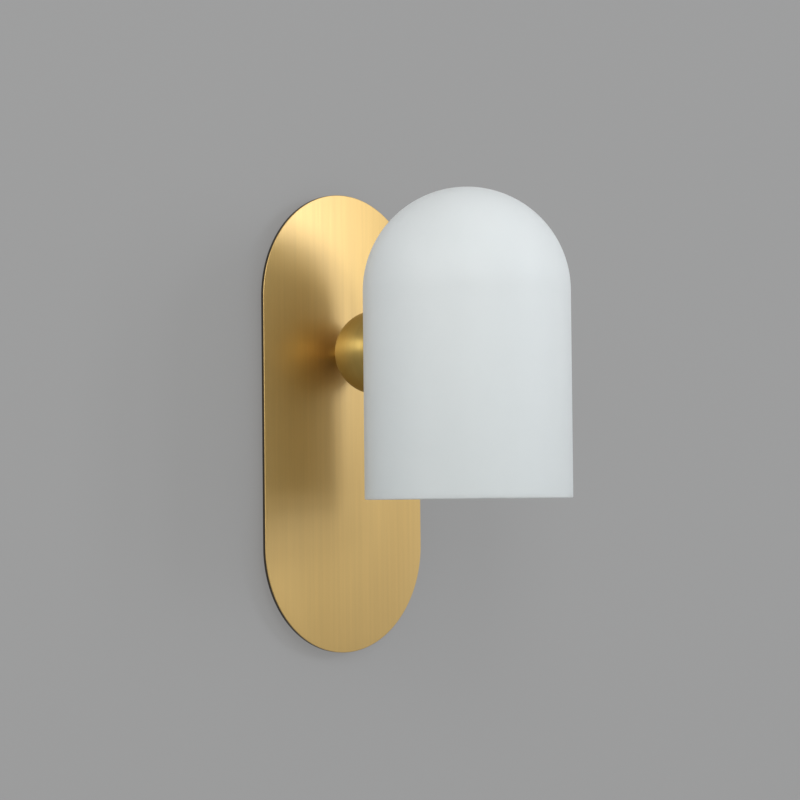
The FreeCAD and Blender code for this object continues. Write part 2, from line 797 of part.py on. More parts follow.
def spring_washer():
    """Dished washer that keeps the swivel's friction steady."""
    body = new_body("spring_washer")
    turn(body, [(STEM_WORKING, SPRING_BACK), ("spring_radius", "-plate_thickness - spring_sheet"),
                ("spring_radius", "-plate_thickness"), (STEM_WORKING, f"{SPRING_BACK} + spring_sheet")])
    seat(body, SWIVEL)


def stop_washer():
    """Washer keyed to the stem's flat, with a lobe that meets the stop pin at each end."""
    disc = cylinder("stop_disc", "stop_radius", "stop_thickness", z=STOP_BACK)
    lobe = cylinder("stop_lobe", "stop_lobe_radius", "stop_thickness", z=STOP_BACK,
                    rotation=FreeCAD.Rotation(FreeCAD.Vector(0, 0, 1), QUARTER_TURN))
    bind(lobe, "Angle", STOP_ARC)
    bind(lobe, "Placement.Rotation.Angle", f"180 deg - {STOP_ARC} / 2")
    depth = "(stop_thickness + 2 * overrun)"
    round_hole = cylinder("stop_round_hole", STEM_WORKING, depth, z=f"{STOP_BACK} - overrun")
    flat_side = block("stop_flat_side", ("3 * stem_radius", "(2 * stem_radius + stem_flat)", depth),
                      ("0", "(stem_flat / 2 + running_play - stem_radius)"), f"{STOP_BACK} - overrun")
    keyed_hole = joined("stop_keyed_hole", [round_hole, flat_side], "MultiCommon")
    seat(cut("stop_washer", joined("stop_blank", [disc, lobe]), keyed_hole), SWIVEL)


def locknut():
    """Thin nut behind the plate that loads the swivel."""
    nut = hexagon_nut("locknut_solid", "nut_flats", "locknut_height", "stem_radius + thread_play",
                      z=LOCKNUT_BACK)
    seat(group("locknut", [nut]), SWIVEL)


def stem():
    """Hollow threaded stem, with a flat at its rear end for the stop washer."""
    body = new_body("stem")
    chamfered = "(stem_radius - stem_chamfer)"
    turn(body, [("stem_bore", STEM_BACK), (chamfered, STEM_BACK),
                ("stem_radius", f"{STEM_BACK} + stem_chamfer"),
                ("stem_radius", f"{STEM_FRONT} - stem_chamfer"), (chamfered, STEM_FRONT),
                ("stem_bore", STEM_FRONT)])
    flat = new_sketch(body, "flat", offset=STEM_BACK)
    rectangle(flat, "(3 * stem_radius)", "stem_radius", "0", "(stem_flat + stem_radius / 2)")
    pocket(body, flat, f"{SPRING_BACK} - {STEM_BACK}", forwards=True)
    seat(body, SWIVEL)


def friction_washer():
    """Nylon washer between the collar and the ball."""
    body = new_body("friction_washer")
    turn(body, ring(STEM_WORKING, "friction_radius", COLLAR_FRONT, BALL_BACK))
    seat(body, SWIVEL)


def across_shade(name, radius):
    """Make a cylinder about the shade's axis, in the swivel's frame and longer than the ball."""
    return cylinder(name, radius, "4 * ball_radius", "0", "-2 * ball_radius", "shade_offset",
                    about_x(-QUARTER_TURN))


def ball():
    """Turned brass ball, flat behind, saddled in front to the glass and bored for the stem."""
    blank = doc.addObject("Part::Sphere", "ball_blank")
    bind(blank, "Radius", "ball_radius")
    bind(blank, "Angle1", "-acos(ball_flat_radius / ball_radius)")
    place(blank, "0", "0", "ball_offset")
    saddle = across_shade("ball_saddle", "shade_radius + pad_thickness")
    bore = cylinder("ball_bore", STEM_WORKING, "shade_offset")
    seat(cut("ball", blank, joined("ball_tools", [saddle, bore])), SWIVEL)


# The shade and its clamp

def shade():
    """Opal glass shade, open below, with a softened rim and one hole for the stem."""
    shell = domed_shell("shade", "shade_radius", "glass_thickness", "shade_straight")
    hole = cylinder("shade_hole", "glass_hole_radius", "shade_radius", "0", "0", "shade_drop",
                    about_x(-QUARTER_TURN))
    holed = cut("shade_holed", shell, hole)
    doc.recompute()
    rim = doc.addObject("Part::Fillet", "shade")
    rim.Base = holed
    size = number("rim_round")
    rim.Edges = [(step, size, size) for step, edge in enumerate(holed.Shape.Edges, start=1)
                 if edge.BoundBox.ZMax < size and edge.BoundBox.ZLength < size]
    seat(rim, SHADE_RIM)


def seat_pad():
    """Thin silicone saddle between the ball and the glass."""
    shell = cut("pad_shell", across_shade("pad_outside", "shade_radius + pad_thickness"),
                across_shade("pad_inside", "shade_radius"))
    punch = cylinder("pad_punch", "pad_radius", "shade_offset")
    disc = joined("pad_disc", [shell, punch], "MultiCommon")
    hole = cylinder("pad_hole", "glass_hole_radius", "shade_offset")
    seat(cut("seat_pad", disc, hole), SWIVEL)


def soft_washer():
    """Silicone washer inside the shade, its back hollowed to the glass."""
    blank = cylinder("soft_blank", "washer_radius", "2 * soft_washer_depth",
                     z=f"{SOFT_FRONT} - 2 * soft_washer_depth")
    inside = across_shade("soft_inside", "shade_radius - glass_thickness")
    disc = joined("soft_disc", [blank, inside], "MultiCommon")
    hole = cylinder("soft_hole", "glass_hole_radius", "shade_offset")
    seat(cut("soft_washer", disc, hole), SWIVEL)


def clamp_washer():
    """Flat washer that spreads the clamp nut's load."""
    body = new_body("clamp_washer")
    turn(body, ring(STEM_WORKING, "washer_radius", SOFT_FRONT, WASHER_FRONT))
    seat(body, SWIVEL)


def clamp_nuts():
    """Nut that clamps the glass to the ball, and the nut that holds the socket bracket."""
    for name, base in (("clamp_nut", WASHER_FRONT), ("bracket_nut", ARM_FRONT)):
        nut = hexagon_nut(f"{name}_solid", "nut_flats", "nut_height", "stem_radius + thread_play", z=base)
        seat(group(name, [nut]), SWIVEL)


def socket_bracket():
    """Bent steel arm from the stem to the shade's axis, with a window for the cable."""
    body = new_body("socket_bracket")
    profile = new_sketch(body, "profile", "YZ_Plane")
    arm_end = "(shade_offset + arm_overhang)"
    outline(profile, [("-arm_drop", CLAMP_FRONT), ("-arm_drop", ARM_FRONT), ("arm_rise", ARM_FRONT),
                      ("arm_rise", arm_end), ("arm_rise + arm_thickness", arm_end),
                      ("arm_rise + arm_thickness", CLAMP_FRONT)])
    pad(body, profile, "arm_width", symmetric=True)
    stem_hole = new_sketch(body, "stem_hole", offset=ARM_FRONT)
    circle(stem_hole, STEM_WORKING)
    pocket(body, stem_hole)
    above = new_sketch(body, "arm_holes", "XZ_Plane", "-arm_rise")
    middle = f"({ARM_FRONT} + window_start + window_length / 2)"
    rectangle(above, "(2 * window_half_width)", "window_length", "0", middle)
    circle(above, "cable_radius + screw_play", "0", "shade_offset")
    for side in ("-", ""):
        circle(above, "holder_screw_radius + screw_play", f"{side}holder_screw_offset", "shade_offset")
    pocket(body, above)
    end, corner = number(arm_end), number("arm_corner")
    soften(body, "Fillet", "Radius", "arm_corner",
           lambda box: box.ZMin > end - corner / 2 and box.XLength < corner / 2)
    crown, root, bend = number("arm_rise + arm_thickness"), number(CLAMP_FRONT), number("arm_bend")
    soften(body, "Fillet", "Radius", "arm_bend",
           lambda box: box.YMin > crown - bend / 2 and box.ZMax < root + bend / 2)
    seat(body, SWIVEL)


def stem_bush():
    """Nylon bush that keeps the stem's front edge off the cable."""
    body = new_body("stem_bush")
    turn(body, [("cable_radius + slip_play", f"{STEM_FRONT} - bush_depth"),
                ("stem_bore - running_play", f"{STEM_FRONT} - bush_depth"),
                ("stem_bore - running_play", STEM_FRONT), ("bush_lip_radius", STEM_FRONT),
                ("bush_lip_radius", BUSH_FRONT), ("cable_radius + slip_play", BUSH_FRONT)])
    seat(body, SWIVEL)


def lamp_cable():
    """Sleeved pair from the stem's rear end, through the arm's window, to the holder's top."""
    bend = f"({STEM_FRONT} + cable_straight)"
    bent_wire("lamp_cable", "cable_radius", [
        ("0", "0", STEM_BACK),
        ("0", "0", bend),
        ("0", "cable_climb", f"({bend} + cable_straight)"),
        ("0", "cable_crown", "shade_offset"),
        ("0", "(arm_rise - cable_entry_depth + slip_play)", "shade_offset")], SWIVEL)


# The lamp holder and the bulb

def lamp_holder():
    """Ceramic holder with a recess for the bulb's base and two pin slots."""
    body = new_body("lamp_holder")
    skirt_top = "(skirt_height - holder_height)"
    turn(body, [("0", "-holder_height"), ("skirt_radius", "-holder_height"), ("skirt_radius", skirt_top),
                ("holder_radius", skirt_top), ("holder_radius", "0"), ("0", "0")])
    recess = new_sketch(body, "recess", offset="-holder_height")
    rectangle(recess, "recess_length", "recess_width")
    pocket(body, recess, "recess_depth", forwards=True)
    slots = new_sketch(body, "slots", offset="-holder_height")
    screw_holes = new_sketch(body, "screw_holes")
    for side in ("-", ""):
        rectangle(slots, "slot_length", "slot_width", f"{side}pin_pitch / 2")
        circle(screw_holes, "holder_screw_radius + thread_play", f"{side}holder_screw_offset")
    pocket(body, slots, "recess_depth + slot_depth", forwards=True)
    pocket(body, screw_holes, "holder_screw_depth + slip_play")
    entry = new_sketch(body, "entry")
    circle(entry, "cable_radius + slip_play")
    pocket(body, entry, "cable_entry_depth")
    seat(body, LAMP)


def holder_screws():
    """Two screws through the arm into the holder."""
    screws = []
    for step, side in enumerate(("-", ""), start=1):
        screw = slotted_screw(f"holder_screw_{step}", "holder_head_radius", "holder_head_height",
                              "holder_screw_radius", "(arm_thickness + holder_screw_depth)")
        screws.append(place(screw, f"{side}holder_screw_offset", "0", "arm_thickness"))
    seat(group("holder_screws", screws), LAMP)


def holder_contacts():
    """Folded spring contact in each pin slot."""
    clips = []
    inner, outer = "(loop_wire + running_play)", "(loop_wire + running_play + leaf_thickness)"
    low = "(-holder_height + recess_depth + slip_play)"
    high = f"({low} + leaf_length)"
    for step, side in enumerate(("-", ""), start=1):
        body = new_body(f"holder_contact_{step}")
        profile = new_sketch(body, "profile", "YZ_Plane", f"{side}pin_pitch / 2")
        outline(profile, [(f"-{outer}", low), (f"-{inner}", low), (f"-{inner}", f"{high} - leaf_thickness"),
                          (inner, f"{high} - leaf_thickness"), (inner, low), (outer, low), (outer, high),
                          (f"-{outer}", high)])
        pad(body, profile, "leaf_width", symmetric=True)
        clips.append(body)
    seat(group("holder_contacts", clips), LAMP)


def bulb_base():
    """Moulded base of the bulb, with a flat spigot that fits the holder's recess."""
    body = new_body("bulb_base")
    barrel = new_sketch(body, "barrel", offset=BULB_MOUTH)
    circle(barrel, "bulb_radius")
    pad(body, barrel, "bulb_base_length", backwards=True)
    spigot = new_sketch(body, "spigot", offset=BULB_MOUTH)
    rectangle(spigot, "(recess_length - 2 * base_play)", "(recess_width - 2 * base_play)")
    pad(body, spigot, "bulb_gap + recess_depth - base_play")
    seat(body, LAMP)


def bulb_pins():
    """Two looped wire pins on top of the spigot."""
    loops = []
    base = "(recess_depth - holder_height - base_play)"
    straight = "(loop_length - loop_half_width)"
    for step, side in enumerate(("-", ""), start=1):
        name, middle = f"bulb_pin_{step}", f"{side}pin_pitch / 2"
        pieces = []
        for leg, sign in (("left", "-"), ("right", "+")):
            pieces.append(cylinder(f"{name}_leg_{leg}", "loop_wire", straight,
                                   f"{middle} {sign} loop_half_width", "0", base))
        bow = doc.addObject("Part::Torus", f"{name}_bow")
        bind(bow, "Radius1", "loop_half_width")
        bind(bow, "Radius2", "loop_wire")
        bow.Angle3 = HALF_TURN
        pieces.append(place(bow, middle, "0", f"{base} + {straight}", about_x(QUARTER_TURN)))
        loops.append(joined(name, pieces))
    seat(group("bulb_pins", loops), LAMP)


def bulb_cover():
    """Frosted cover of the bulb, a small dome that points down."""
    shell = domed_shell("bulb_cover", "bulb_radius", "bulb_wall", "bulb_cover_straight")
    seat(group("bulb_cover", [shell]), COVER)


def led_board():
    """Board inside the bulb with a row of light chips on each face."""
    middle = ("0", "0")
    chip = ("chip_width", "board_thickness + 2 * chip_depth", "chip_length")
    pieces = [block("board_sheet", ("board_width", "board_thickness", "board_length"), middle, "0")]
    for step in range(1, BOARD_CHIPS + 1):
        pieces.append(block(f"board_chip_{step}", chip, middle, f"{step} * chip_pitch - chip_length"))
    seat(joined("led_board", pieces), COVER)


def check_model():
    """Stop if any object failed or any sub-part has no sound shape."""
    doc.recompute()
    for item in doc.Objects:
        if {"Invalid", "Error"} & set(item.State):
            raise RuntimeError(f"{item.Label} failed: {item.State}")
    for piece in subparts:
        if piece.Shape.isNull() or not piece.Shape.isValid() or not piece.Shape.Solids:
            raise RuntimeError(f"{piece.Label} has no sound shape")


def write_parts():
    """Write each sub-part to a file of its own name."""
    os.makedirs("parts", exist_ok=True)
    for piece in subparts:
        piece.Shape.exportStep(f"parts/{piece.Label}.step")
        print(piece.Label, len(piece.Shape.Solids), "solids", round(piece.Shape.Volume, 1), "mm3")


fill_sheet()
for make in (wall_bracket, cable_grommet, rear_frame, frame_nuts, backplate, side_screws, terminal_block,
             terminal_clamps, terminal_screws, block_screws, earth_tag, earth_screw, leads, collar, stop_pin,
             spring_washer, stop_washer, locknut, stem, friction_washer, ball, seat_pad, shade, soft_washer,
             clamp_washer, clamp_nuts, socket_bracket, stem_bush, lamp_cable, lamp_holder, holder_screws,
             holder_contacts, bulb_base, bulb_pins, bulb_cover, led_board):
    make()
check_model()
write_parts()
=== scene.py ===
"""Looks of a wall sconce: a brushed brass plate and ball arm that carry a domed opal glass shade.

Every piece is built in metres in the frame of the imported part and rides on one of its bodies.
"""

import functools
import logging
import math
from abc import ABC, abstractmethod
from collections.abc import Sequence
from dataclasses import dataclass
from enum import Enum
from typing import Any

import bmesh
import bpy
from mathutils import Matrix, Vector


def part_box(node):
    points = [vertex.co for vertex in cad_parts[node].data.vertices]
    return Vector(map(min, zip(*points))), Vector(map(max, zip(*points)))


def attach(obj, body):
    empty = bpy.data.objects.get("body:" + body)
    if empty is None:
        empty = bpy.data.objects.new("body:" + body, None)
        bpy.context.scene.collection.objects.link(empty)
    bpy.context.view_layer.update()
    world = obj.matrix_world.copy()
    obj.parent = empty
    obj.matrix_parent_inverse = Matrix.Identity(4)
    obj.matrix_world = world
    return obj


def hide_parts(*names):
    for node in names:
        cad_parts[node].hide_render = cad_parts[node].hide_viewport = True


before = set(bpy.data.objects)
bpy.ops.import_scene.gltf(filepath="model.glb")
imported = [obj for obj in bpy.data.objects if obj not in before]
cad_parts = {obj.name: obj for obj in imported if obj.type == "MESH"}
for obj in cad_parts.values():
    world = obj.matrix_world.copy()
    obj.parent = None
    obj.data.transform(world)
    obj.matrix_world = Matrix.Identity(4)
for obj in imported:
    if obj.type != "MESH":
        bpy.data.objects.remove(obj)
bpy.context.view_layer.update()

LOG = logging.getLogger("wall_sconce")

MM = 0.001
WELD = 0.002 * MM
OVERRUN = 5 * MM
ROUND_STEPS = 96
SOFT_STEPS = 2

Rgb = tuple[float, float, float]
Point = tuple[float, float, float]
Profile = Sequence[tuple[float, float]]
Thing = bpy.types.Object
Socket = bpy.types.NodeSocket
Inputs = dict[str | int, Any]
Plain = tuple[tuple[str, float, str], ...]


class Body(Enum):
    """Bodies that pieces ride on."""

    WALL_PLATE = "wall_plate"
    HEAD = "head"
    BULB = "bulb"


class Grain(Enum):
    """Ways in which a metal is worked."""

    UPRIGHT = "upright"
    TURNED = "turned"


class Joining(Enum):
    """Ways in which one solid acts on another."""

    CUT = "DIFFERENCE"
    SHARE = "INTERSECT"


# Node trees


class Graph:
    """A node tree while it is being wired."""

    def __init__(self, tree: bpy.types.NodeTree) -> None:
        """Take the tree that gets the nodes."""
        self.tree = tree

    def node(self, kind: str, inputs: Inputs | None = None, **settings: Any) -> bpy.types.Node:
        """Add a node, set its options and fill or link its inputs.

        Args:
            kind: The node's type.
            inputs: Values, sockets or lists of sockets by input name or number.
            **settings: The node's own options.

        Returns:
            The new node.
        """
        made = self.tree.nodes.new(kind)
        for key, value in settings.items():
            setattr(made, key, value)
        for key, value in (inputs or {}).items():
            for item in value if isinstance(value, list) else [value]:
                if isinstance(item, Socket):
                    self.tree.links.new(item, made.inputs[key])
                else:
                    made.inputs[key].default_value = item
        return made

    def out(self, kind: str, inputs: Inputs | None = None, **settings: Any) -> Socket:
        """Add a node in the same way and give its first output."""
        return self.node(kind, inputs, **settings).outputs[0]

    def math(self, operation: str, *values: Any) -> Socket:
        """Work out one number from others."""
        return self.out("ShaderNodeMath", dict(enumerate(values)), operation=operation)

    def vector(self, x: Any = 0.0, y: Any = 0.0, z: Any = 0.0) -> Socket:
        """Join three numbers into a vector."""
        return self.out("ShaderNodeCombineXYZ", {"X": x, "Y": y, "Z": z})

    def part(self, vector: Socket, axis: str) -> Socket:
        """Take one number out of a vector, by its axis in capitals."""
        return self.node("ShaderNodeSeparateXYZ", {"Vector": vector}).outputs[axis]

    def scaled(self, vector: Socket, factor: Socket) -> Socket:
        """Multiply a vector, or a colour, by a number."""
        return self.out("ShaderNodeVectorMath", {0: vector, "Scale": factor}, operation="SCALE")

    def cross(self, first: Socket, second: Socket) -> Socket:
        """Give the cross product of two vectors."""
        return self.out("ShaderNodeVectorMath", {0: first, 1: second}, operation="CROSS_PRODUCT")


class Wiring(Graph):
    """One node material while it is being wired."""

    def __init__(self, name: str) -> None:
        """Start a material without nodes.

        Args:
            name: The material's name.
        """
        self.material = bpy.data.materials.new(name)
        self.material.use_nodes = True
        super().__init__(self.material.node_tree)
        self.tree.nodes.clear()

    def place(self) -> Socket:
        """Give the shaded point's place in the object's own coordinates."""
        return self.node("ShaderNodeTexCoord").outputs["Object"]

    def noise(self, cell: Sequence[float], detail: float = 2.0) -> Socket:
        """Lay noise on the object's own coordinates.

        Args:
            cell: Size of a noise cell along x, y and z.
            detail: Octaves of finer noise.

        Returns:
            The noise's value, about 0.5 on average.
        """
        scale = tuple(1 / size for size in cell)
        spread = self.out("ShaderNodeMapping", {"Vector": self.place(), "Scale": scale})
        cells = self.node("ShaderNodeTexNoise", {"Vector": spread, "Scale": 1.0, "Detail": detail})
        return cells.outputs["Fac"]

    def ramp(self, value: Socket, low: float, high: float, start: float = 0.25, end: float = 0.75) -> Socket:
        """Map a value to a range of another quantity; a noise keeps within the usual start and end.

        Args:
            value: The value.
            low: Result at the start and below it.
            high: Result at the end and above it.
            start: Value at which the range starts.
            end: Value at which the range ends.

        Returns:
            The mapped value.
        """
        return self.out("ShaderNodeMapRange", {"Value": value, "From Min": start, "From Max": end,
                                               "To Min": low, "To Max": high})

    def blend(self, share: Socket, first: Socket | Rgb, second: Rgb) -> Socket:
        """Blend two colours.

        Args:
            share: Share of the second colour, from 0 to 1.
            first: Colour at 0.
            second: Colour at 1.

        Returns:
            The blended colour.
        """
        start = first if isinstance(first, Socket) else (*first, 1.0)
        mix = self.node("ShaderNodeMix", {"Factor": share, 6: start, 7: (*second, 1.0)}, data_type="RGBA")
        return mix.outputs[2]

    def varied(self, noise: Socket, color: Rgb, tones: tuple[float, float]) -> Socket:
        """Vary a colour's brightness by a noise.

        Args:
            noise: The noise.
            color: The colour.
            tones: Darkest and lightest share of it.

        Returns:
            The varied colour.
        """
        dark, light = (tone(color, share) for share in tones)
        return self.blend(self.ramp(noise, 0.0, 1.0), dark, light)

    def bump(self, height: Socket, depth: float, normal: Socket | None = None) -> Socket:
        """Raise a surface by a height.

        Args:
            height: The height, from 0 to 1.
            depth: Real height at 1.
            normal: Normal to start from, if it isn't the surface's own.

        Returns:
            The bent normal.
        """
        base = {} if normal is None else {"Normal": normal}
        return self.out("ShaderNodeBump", {"Height": height, "Distance": depth, "Strength": 1.0, **base})

    def end(self, shader: Socket) -> bpy.types.Material:
        """End the material in a shader.

        Args:
            shader: The shader.

        Returns:
            The finished material.
        """
        self.node("ShaderNodeOutputMaterial", {"Surface": shader})
        return self.material


def tone(color: Rgb, share: float) -> Rgb:
    """Lighten or darken a colour by a share of itself."""
    return tuple(min(1.0, part * share) for part in color)


# Finishes


@dataclass(frozen=True)
class Finish(ABC):
    """A surface that pieces can be given.

    Attributes:
        color: Base colour, linear.
        roughness: Usual roughness.
        spread: How far the roughness strays down and up.
        slot: Name of a slot for it, where that isn't its own name; not used.
    """

    color: Rgb
    roughness: float = 0.45
    spread: tuple[float, float] = (-0.05, 0.05)
    slot: str = ""

    @abstractmethod
    def surface(self, wiring: Wiring) -> Inputs:
        """Wire the finish.

        Args:
            wiring: The material.

        Returns:
            Values and sockets for the inputs of its principled shader.
        """

    def gloss(self, wiring: Wiring, noise: Socket) -> Socket:
        """Vary the roughness by a noise."""
        return wiring.ramp(noise, *(self.roughness + part for part in self.spread))


@dataclass(frozen=True)
class SatinBrass(Finish):
    """Lacquered brass with a fine brushed or turned grain, its sides painted dark as shade where an edge
    colour is given.
    """

    grain: Grain = Grain.UPRIGHT
    anisotropy: float = 0.1
    line_width: float = 0.35 * MM
    line_length: float = 90 * MM
    line_depth: float = 0.004 * MM
    streak_width: float = 2.2 * MM
    streak_contrast: float = 0.035
    streak_depth: float = 0.007 * MM
    lacquer: float = 0.65
    lacquer_index: float = 1.7
    lacquer_roughness: float = 0.33
    # The edge colour is painted shade laid on the sides that face neither room nor wall; the turn below sets
    # how near edge-on such a side must be.
    edge: Rgb | None = None
    edge_turn: float = 0.1

    def lines(self, wiring: Wiring, width: float, detail: float) -> Socket:
        """Lay noise that is drawn out along the grain.

        Args:
            wiring: The material.
            width: Width of a line.
            detail: Octaves of finer lines.

        Returns:
            The noise's value.
        """
        long = self.line_length
        return wiring.noise((width if self.grain is Grain.UPRIGHT else long, width, long), detail)

    def across(self, wiring: Wiring) -> Socket:
        """Find the direction across the grain, in which the gloss spreads.

        Upright lines have it along x. Lines turned about y have it along the surface at right angles
        to them, the cross product of the normal and of y crossed with the normal.

        Args:
            wiring: The material.

        Returns:
            The direction.
        """
        if self.grain is Grain.UPRIGHT:
            return wiring.vector(x=1.0)
        normal = wiring.node("ShaderNodeNewGeometry").outputs["Normal"]
        return wiring.cross(normal, wiring.cross(wiring.vector(y=1.0), normal))

    def patinated(self, wiring: Wiring, base: Socket) -> Socket:
        """Paint shade on the sides that face neither the room nor the wall, darkening them.

        Args:
            wiring: The material.
            base: Colour of the brushed faces.

        Returns:
            The colour with painted shade on the sides.
        """
        # Painted shade: faces nearly edge-on to the wall take the dark edge colour.
        depth = wiring.part(wiring.node("ShaderNodeNewGeometry").outputs["True Normal"], "Y")
        side = wiring.math("LESS_THAN", wiring.math("ABSOLUTE", depth), self.edge_turn)
        return wiring.blend(side, base, self.edge)

    def surface(self, wiring: Wiring) -> Inputs:
        """Wire brass whose gloss spreads across the grain.

        Args:
            wiring: The material.

        Returns:
            Inputs of its shader.
        """
        fine = self.lines(wiring, self.line_width, 3.0)
        broad = self.lines(wiring, self.streak_width, 2.0)
        base = wiring.varied(broad, self.color, (1 - self.streak_contrast, 1 + self.streak_contrast))
        return {
            "Base Color": self.patinated(wiring, base) if self.edge else base,
            "Metallic": 1.0,
            "Roughness": self.gloss(wiring, fine),
            "Normal": wiring.bump(fine, self.line_depth, wiring.bump(broad, self.streak_depth)),
            "Coat Weight": self.lacquer,
            "Coat IOR": self.lacquer_index,
            "Coat Roughness": self.lacquer_roughness,
            "Anisotropic": self.anisotropy,
            "Tangent": self.across(wiring),
        }


@dataclass(frozen=True)
class OpalGlass(Finish):
    """Blown opal glass with a satin etched skin, whose colour is painted darker towards its mouth as painted
    shade, up to a height from which it keeps its full tone.
    """

    roughness: float = 0.52
    spread: tuple[float, float] = (-0.02, 0.02)
    depth: float = 6 * MM
    cloud: Point = (28 * MM, 28 * MM, 70 * MM)
    cloud_tone: float = 0.985
    ripple: float = 9 * MM
    ripple_depth: float = 0.02 * MM
    # mouth and full: heights over which painted shade darkens the colour towards the mouth; the share below
    # is how much darker the mouth is painted.
    mouth: float = -50 * MM
    full: float = 70 * MM
    thinning: float = 0.13

    def surface(self, wiring: Wiring) -> Inputs:
        """Wire a milky glass that light sinks into.

        Args:
            wiring: The material.

        Returns:
            Inputs of its shader.
        """
        clouds = wiring.ramp(wiring.noise(self.cloud), self.cloud_tone, 1.0)
        ripples = wiring.noise((self.ripple,) * 3, 1.0)
        # Painted shade: the colour is darkened towards the mouth and fades out at the full height.
        height = wiring.ramp(wiring.part(wiring.place(), "Z"), 0.0, 1.0, self.mouth, self.full)
        milky = wiring.blend(height, tone(self.color, 1 - self.thinning), self.color)
        return {
            "Base Color": wiring.scaled(milky, clouds),
            "Roughness": self.gloss(wiring, ripples),
            "Subsurface Weight": 1.0,
            "Subsurface Radius": (1.0, 1.0, 1.0),
            "Subsurface Scale": self.depth,
            "Normal": wiring.bump(ripples, self.ripple_depth),
        }


@dataclass(frozen=True)
class BareMetal(Finish):
    """Plated or turned metal with a faint mottle and with tool marks along y."""

    spread: tuple[float, float] = (-0.06, 0.08)
    mottle: float = 3 * MM
    tones: tuple[float, float] = (0.9, 1.06)
    mark: float = 0.15 * MM
    mark_stretch: float = 5.0
    mark_depth: float = 0.003 * MM

    def surface(self, wiring: Wiring) -> Inputs:
        """Wire a metal whose gloss is slightly uneven.

        Args:
            wiring: The material.

        Returns:
            Inputs of its shader.
        """
        patches = wiring.noise((self.mottle,) * 3, 3.0)
        marks = wiring.noise((self.mark, self.mark_stretch * self.mark, self.mark), 1.0)
        return {
            "Base Color": wiring.varied(patches, self.color, self.tones),
            "Metallic": 1.0,
            "Roughness": self.gloss(wiring, patches),
            "Normal": wiring.bump(marks, self.mark_depth),
        }


@dataclass(frozen=True)
class Moulded(Finish):
    """Plastic, rubber, ceramic or paint with pores, in patches of slightly different tone.

    A stripe, where one is given, covers what lies beyond its place along y.
    """

    pore: float = 0.5 * MM
    pore_depth: float = 0.01 * MM
    patch_share: float = 10.0
    tones: tuple[float, float] = (0.95, 1.03)
    softness: float = 0.0
    soft_depth: float = 1 * MM
    clearness: float = 0.0
    stripe: Rgb | None = None
    stripe_place: float = -3.9 * MM

    def surface(self, wiring: Wiring) -> Inputs:
        """Wire an even colour with pores and a light unevenness of tone.

        Args:
            wiring: The material.

        Returns:
            Inputs of its shader.
        """
        patches = wiring.noise((self.patch_share * self.pore,) * 3)
        pores = wiring.noise((self.pore,) * 3)
        base = wiring.varied(patches, self.color, self.tones)
        if self.stripe:
            inside = wiring.math("GREATER_THAN", wiring.part(wiring.place(), "Y"), self.stripe_place)
            base = wiring.blend(inside, base, self.stripe)
        return {
            "Base Color": base,
            "Roughness": self.gloss(wiring, pores),
            "Normal": wiring.bump(pores, self.pore_depth),
            "Subsurface Weight": self.softness,
            "Subsurface Scale": self.soft_depth,
            "Transmission Weight": self.clearness,
        }


@dataclass(frozen=True)
class WovenSleeve(Finish):
    """Varnished sleeve of woven glass yarn, read from the sleeve's own UV map."""

    roughness: float = 0.55
    yarn: float = 0.7 * MM
    around: float = 14.0
    yarn_depth: float = 0.12 * MM
    gap_tone: float = 0.6

    def surface(self, wiring: Wiring) -> Inputs:
        """Wire two sets of yarns that cross on the slant.

        Args:
            wiring: The material.

        Returns:
            Inputs of its shader.
        """
        lay = wiring.node("ShaderNodeUVMap", uv_map="lay").outputs["UV"]
        turns = wiring.math("MULTIPLY", wiring.part(lay, "Y"), self.around)
        steps = wiring.math("MULTIPLY", wiring.part(lay, "X"), 1 / self.yarn)
        waves = []
        for sign in ("ADD", "SUBTRACT"):
            slant = wiring.math("MULTIPLY", wiring.math(sign, turns, steps), math.pi)
            waves.append(wiring.math("ABSOLUTE", wiring.math("SINE", slant)))
        weave = wiring.math("MULTIPLY", *waves)
        return {
            "Base Color": wiring.blend(weave, tone(self.color, self.gap_tone), self.color),
            "Roughness": self.roughness,
            "Normal": wiring.bump(weave, self.yarn_depth),
        }


